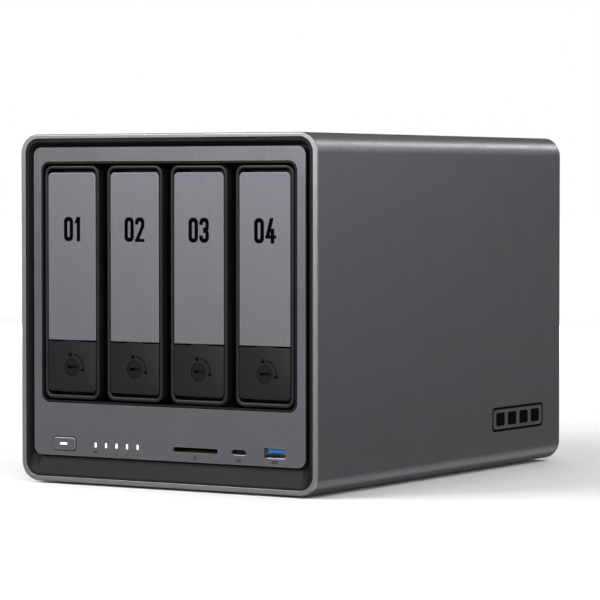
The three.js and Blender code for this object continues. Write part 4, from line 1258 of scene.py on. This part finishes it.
rotor_low, rotor_high = corners_of("fan_rotor")
ROTOR_MID = (rotor_low.y + rotor_high.y) / 2
HUB, TIP, BLADES = 22, 65.4, 7
BLADE_THICK, BLADE_CAMBER = 1.3, 3.8
rotor = rod("fan_hub", (0, ROTOR_MID, FAN_Z), HUB, rotor_high.y - rotor_low.y, sides=64)
round_rim(rotor, 1, rotor_low.y, 2.4, 5)
for number in range(BLADES):
    bpy.ops.object.select_all(action="DESELECT")
    bpy.ops.mesh.primitive_grid_add(x_subdivisions=12, y_subdivisions=8, size=1)
    blade = bpy.context.object
    for corner in blade.data.vertices:
        # Out runs from root to tip, and along from one edge of the blade to the other.
        out, along = corner.co.x + 0.5, corner.co.y
        radius = HUB - 2 + out * (TIP - HUB + 2)
        reach = 17.4 - 4.5 * out
        angle = 0.42 * out**1.5 + along * (0.74 - 0.16 * out)
        camber = BLADE_CAMBER * (0.25 - along**2)
        corner.co = (
            radius * cos(angle) * MM,
            (ROTOR_MID + along * reach + camber) * MM,
            (FAN_Z + radius * sin(angle)) * MM,
        )
    only(blade)
    thicken = blade.modifiers.new("thicken", "SOLIDIFY")
    thicken.thickness = BLADE_THICK * MM
    thicken.offset = 0
    bpy.ops.object.modifier_apply(modifier=thicken.name)
    pick(blade, "VERT", lambda place: True)
    bpy.ops.mesh.normals_make_consistent(inside=False)
    to_object_mode()
    combine(rotor, turned(blade, 2 * pi * number / BLADES), "UNION")
ease_edges(rotor, 0, angle=35)
fit(rotor, fan_black, "fan_rotor", "black_plastic", "fan_rotor")


# ---- Fan cover ----
# A moulded frame that magnets hold on the rear panel. A fine steel mesh, coated black, is welded
# into it behind two crossing pairs of ribs, and it pulls straight off for cleaning.
cover_low, cover_high = corners_of("fan_cover")
COVER_Z = (cover_low.z + cover_high.z) / 2
COVER_SIDE = cover_high.x - cover_low.x
COVER_RIM = 6
cover = slug("fan_cover_frame", 0, COVER_Z, COVER_SIDE, COVER_SIDE, 8, cover_low.y, cover_high.y, 10)
opening = COVER_SIDE - 2 * COVER_RIM
combine(cover, slug("opening", 0, COVER_Z, opening, opening, 4, cover_low.y - 1, cover_high.y + 1))
for offset in (-opening / 6, opening / 6):
    for upright in (False, True):
        low, high = [-opening / 2 - 1, offset - 1], [opening / 2 + 1, offset + 1]
        if upright:
            low.reverse()
            high.reverse()
        rib_from = (low[0], cover_high.y - 1.1, COVER_Z + low[1])
        rib_to = (high[0], cover_high.y - 0.2, COVER_Z + high[1])
        combine(cover, block("rib", rib_from, rib_to), "UNION")
ease_edges(cover, 0.3, segments=3)
fit(cover, moulded, "fan_cover", "filter_mesh", "fan_cover")

MESH_PITCH, MESH_WIRE = 2.3, 0.55
MESH_SIDE = opening + 3
cells = round(MESH_SIDE / MESH_PITCH)
bpy.ops.object.select_all(action="DESELECT")
bpy.ops.mesh.primitive_grid_add(
    x_subdivisions=cells,
    y_subdivisions=cells,
    size=MESH_SIDE * MM,
    location=(0, (cover_low.y + 0.6) * MM, COVER_Z * MM),
    rotation=(pi / 2, 0, 0),
)
mesh_sheet = bpy.context.object
mesh_sheet.name = "fan_cover_mesh"
bpy.ops.object.transform_apply(location=True, rotation=True, scale=True)
weave = mesh_sheet.modifiers.new("weave", "WIREFRAME")
weave.thickness = MESH_WIRE * MM
weave.use_even_offset = False
bpy.ops.object.modifier_apply(modifier=weave.name)
fit(mesh_sheet, coated_steel, "fan_cover", "filter_mesh")


# ---- Power inlet and rear sockets ----
# The inlet is a moulded barrel round a plated pin. The others are plated shells soldered to the main
# board: one for video, a stack of two USB, and a housing with two network sockets.
inlet_middle = (inlet_low.y + SOCKET_END) / 2
inlet = rod("power_inlet", (INLET_X, inlet_middle, INLET_Z), INLET_RADIUS, SOCKET_END - inlet_low.y, sides=48)
inlet_base = block("inlet_base", tuple(inlet_low), (inlet_high.x, PANEL_IN - 0.3, INLET_Z))
combine(inlet, inlet_base, "UNION")
combine(inlet, rod("bore", (INLET_X, SOCKET_END, INLET_Z), 2.9, 24, sides=48))
ease_edges(inlet, 0.2)
tinted(inlet, tongue_black)
pin = rod("pin", (INLET_X, SOCKET_END - 7.5, INLET_Z), 1, 12, sides=24)
round_rim(pin, 1, SOCKET_END - 1.5, 0.5, 4)
ease_edges(pin, 0)
joined(inlet, tinted(pin, plated))
fit(inlet, tongue_black, "root", "black_plastic", "power_inlet")

video_low, video_high = corners_of("hdmi_socket")
VIDEO_X, VIDEO_Z = (video_low.x + video_high.x) / 2, (video_low.z + video_high.z) / 2
wide, tall = video_high.x - video_low.x, video_high.z - video_low.z
video = shell("video_socket", VIDEO_X, VIDEO_Z, wide, tall, 1.5, video_high.y, video_low.y)
tongue = slug("tongue", VIDEO_X, VIDEO_Z + 0.3, 11.5, 1.2, 0.2, video_low.y + 0.2, video_high.y - 1.5)
strips = contacts(VIDEO_X, VIDEO_Z - 0.3, 9, 1.1, video_low.y + 2, video_high.y - 2.2)
joined(video, tinted(tongue, tongue_black), *strips)
fit(video, plated, "root", "bright_steel", "hdmi_socket")

stack_low, stack_high = corners_of("rear_usb_stack")
STACK_X, STACK_Z = (stack_low.x + stack_high.x) / 2, (stack_low.z + stack_high.z) / 2
stack = block("rear_usb", stack_low, stack_high)
extras = []
for z in (STACK_Z - 3.7, STACK_Z + 3.7):
    combine(stack, slug("hole", STACK_X, z, 12.4, 5.2, 0.3, stack_high.y - 13, REAR))
    tongue = slug("tongue", STACK_X, z + 1.1, 11, 1.8, 0.2, stack_high.y - 13.5, stack_high.y - 1.8)
    extras.append(tinted(tongue, usb_blue))
    extras += contacts(STACK_X, z + 0.22, 4, 2.5, stack_high.y - 12, stack_high.y - 2.6)
ease_edges(stack, 0.15)
tinted(stack, plated)
joined(stack, *extras)
fit(stack, plated, "root", "bright_steel", "rear_usb_stack")

lan_low, lan_high = corners_of("lan_sockets")
LAN_X, LAN_Z = (lan_low.x + lan_high.x) / 2, (lan_low.z + lan_high.z) / 2
link_green = glowing("link_lens", (0.10, 0.35, 0.12), 0.15)
lan = block("network_sockets", lan_low, lan_high)
extras = []
for x in (LAN_X - 7.9, LAN_X + 7.9):
    bay = slug("bay", x, LAN_Z - 0.5, 11.8, 7.4, 0.4, lan_high.y - 12.8, REAR)
    combine(bay, slug("latch", x, LAN_Z - 2.7, 6, 5.4, 0.2, lan_high.y - 12.8, REAR), "UNION")
    combine(lan, bay)
    extras += contacts(x, LAN_Z + 2.7, 8, 1.02, lan_high.y - 12.4, lan_high.y - 3, thick=0.35)
    for side in (-4.2, 4.2):
        light = slug("link_light", x + side, LAN_Z + 4.7, 2.8, 1.7, 0.2, lan_high.y - 3, lan_high.y + 0.05)
        extras.append(tinted(light, link_green))
ease_edges(lan, 0.15)
tinted(lan, plated)
tinted(lan, tongue_black)
for face in lan.data.polygons:
    if face.center.y < (lan_high.y - 0.5) * MM:
        face.material_index = 1
joined(lan, *extras)
fit(lan, plated, "root", "bright_steel", "lan_sockets")


# ---- Reset button ----
# A turned plastic pin on a small switch, set in behind its hole so that only a clip end reaches it.
RESET_RADIUS = 1.6


def reset_part(name, radius, back):
    """A length of the turned pin, from its switch back towards the panel."""
    middle, length = (reset_low.y + back) / 2, back - reset_low.y
    return rod(name, (RESET_X, middle, RESET_Z), radius, length, sides=32)


reset = reset_part("reset_pin", RESET_RADIUS, reset_high.y)
combine(reset, reset_part("flange", RESET_RADIUS + 1, PANEL_IN - 0.8), "UNION")
combine(reset, rod("dimple", (RESET_X, reset_high.y, RESET_Z), 0.8, 0.5, sides=24))
ease_edges(reset, 0.15)
reset_grey = blasted("reset_grey", (0.05, 0.05, 0.052), 0.45, 0, grain_mm=0.3, tooth=0.01, shift=0.06)
fit(reset, reset_grey, "reset_button", "black_plastic", "reset_button")


# ---- Feet and underside cover ----
# Four soft black rubber pads glued in round pockets, each with a ring pressed in its sole, and a
# vented aluminium cover over the memory slots that four sunk screws hold.
rubber = blasted(
    "foot_rubber", (0.016, 0.016, 0.016), 0.78, 0, grain_mm=0.7, tooth=0.06, shift=0.15, gloss=0.3
)
for number in range(1, 5):
    foot_low, foot_high = corners_of(f"foot_{number}")
    middle = (foot_low + foot_high) / 2
    radius = (foot_high.x - foot_low.x) / 2
    foot = rod(f"foot_pad_{number}", middle, radius, foot_high.z - foot_low.z, along="Z", sides=64)
    round_rim(foot, 2, foot_low.z, 0.5, 4)
    pick(foot, "FACE", lambda middle, normal: normal.z < -0.99)
    bpy.ops.mesh.inset(thickness=1.8 * MM)
    bpy.ops.mesh.inset(thickness=0.4 * MM, depth=-0.4 * MM)
    bpy.ops.mesh.inset(thickness=0.8 * MM)
    bpy.ops.mesh.inset(thickness=0.4 * MM, depth=0.4 * MM)
    to_object_mode()
    ease_edges(foot, 0)
    fit(foot, rubber, "root", "rubber_feet", f"foot_{number}")

hatch_low, hatch_high = corners_of("bottom_cover")
hatch = block("underside_cover", hatch_low, hatch_high)
round_along(hatch, 2, 2, 5)
SLOTS_X, SLOTS_Y, SLOT_PITCH, SLOT_HALF = 20, 15, 5.2, 14
slots = []
for side in (-1, 1):
    for i in range(11):
        y = SLOTS_Y + (i - 5) * SLOT_PITCH
        x = side * SLOTS_X
        slot = block("slot", (x - SLOT_HALF, y - 1.3, 0), (x + SLOT_HALF, y + 1.3, 6))
        round_along(slot, 2, 1.25, 5)
        slots.append(slot)
combine(hatch, joined(*slots))
screw_rows = (hatch_low.y + 5, hatch_high.y - 5)
HATCH_SCREWS = [(x, y) for x in (hatch_low.x + 5, hatch_high.x - 5) for y in screw_rows]
sinks = [rod("sink", (x, y, hatch_low.z), 2.9, 1.6, along="Z", sides=32) for x, y in HATCH_SCREWS]
combine(hatch, joined(*sinks))
ease_edges(hatch, 0.25)
fit(hatch, sleeve_finish, "root", "sleeve", "bottom_cover")
screws = [screw((x, y, hatch_low.z), 2.6, 0.0, "Z", -1) for x, y in HATCH_SCREWS]
cover_screws = joined(*screws)
cover_screws.name = "cover_screws"
fit(cover_screws, screw_black, "root", "bright_steel")


# ---- Size ----
# The box round everything shown but the sweep, in metres.
low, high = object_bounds()
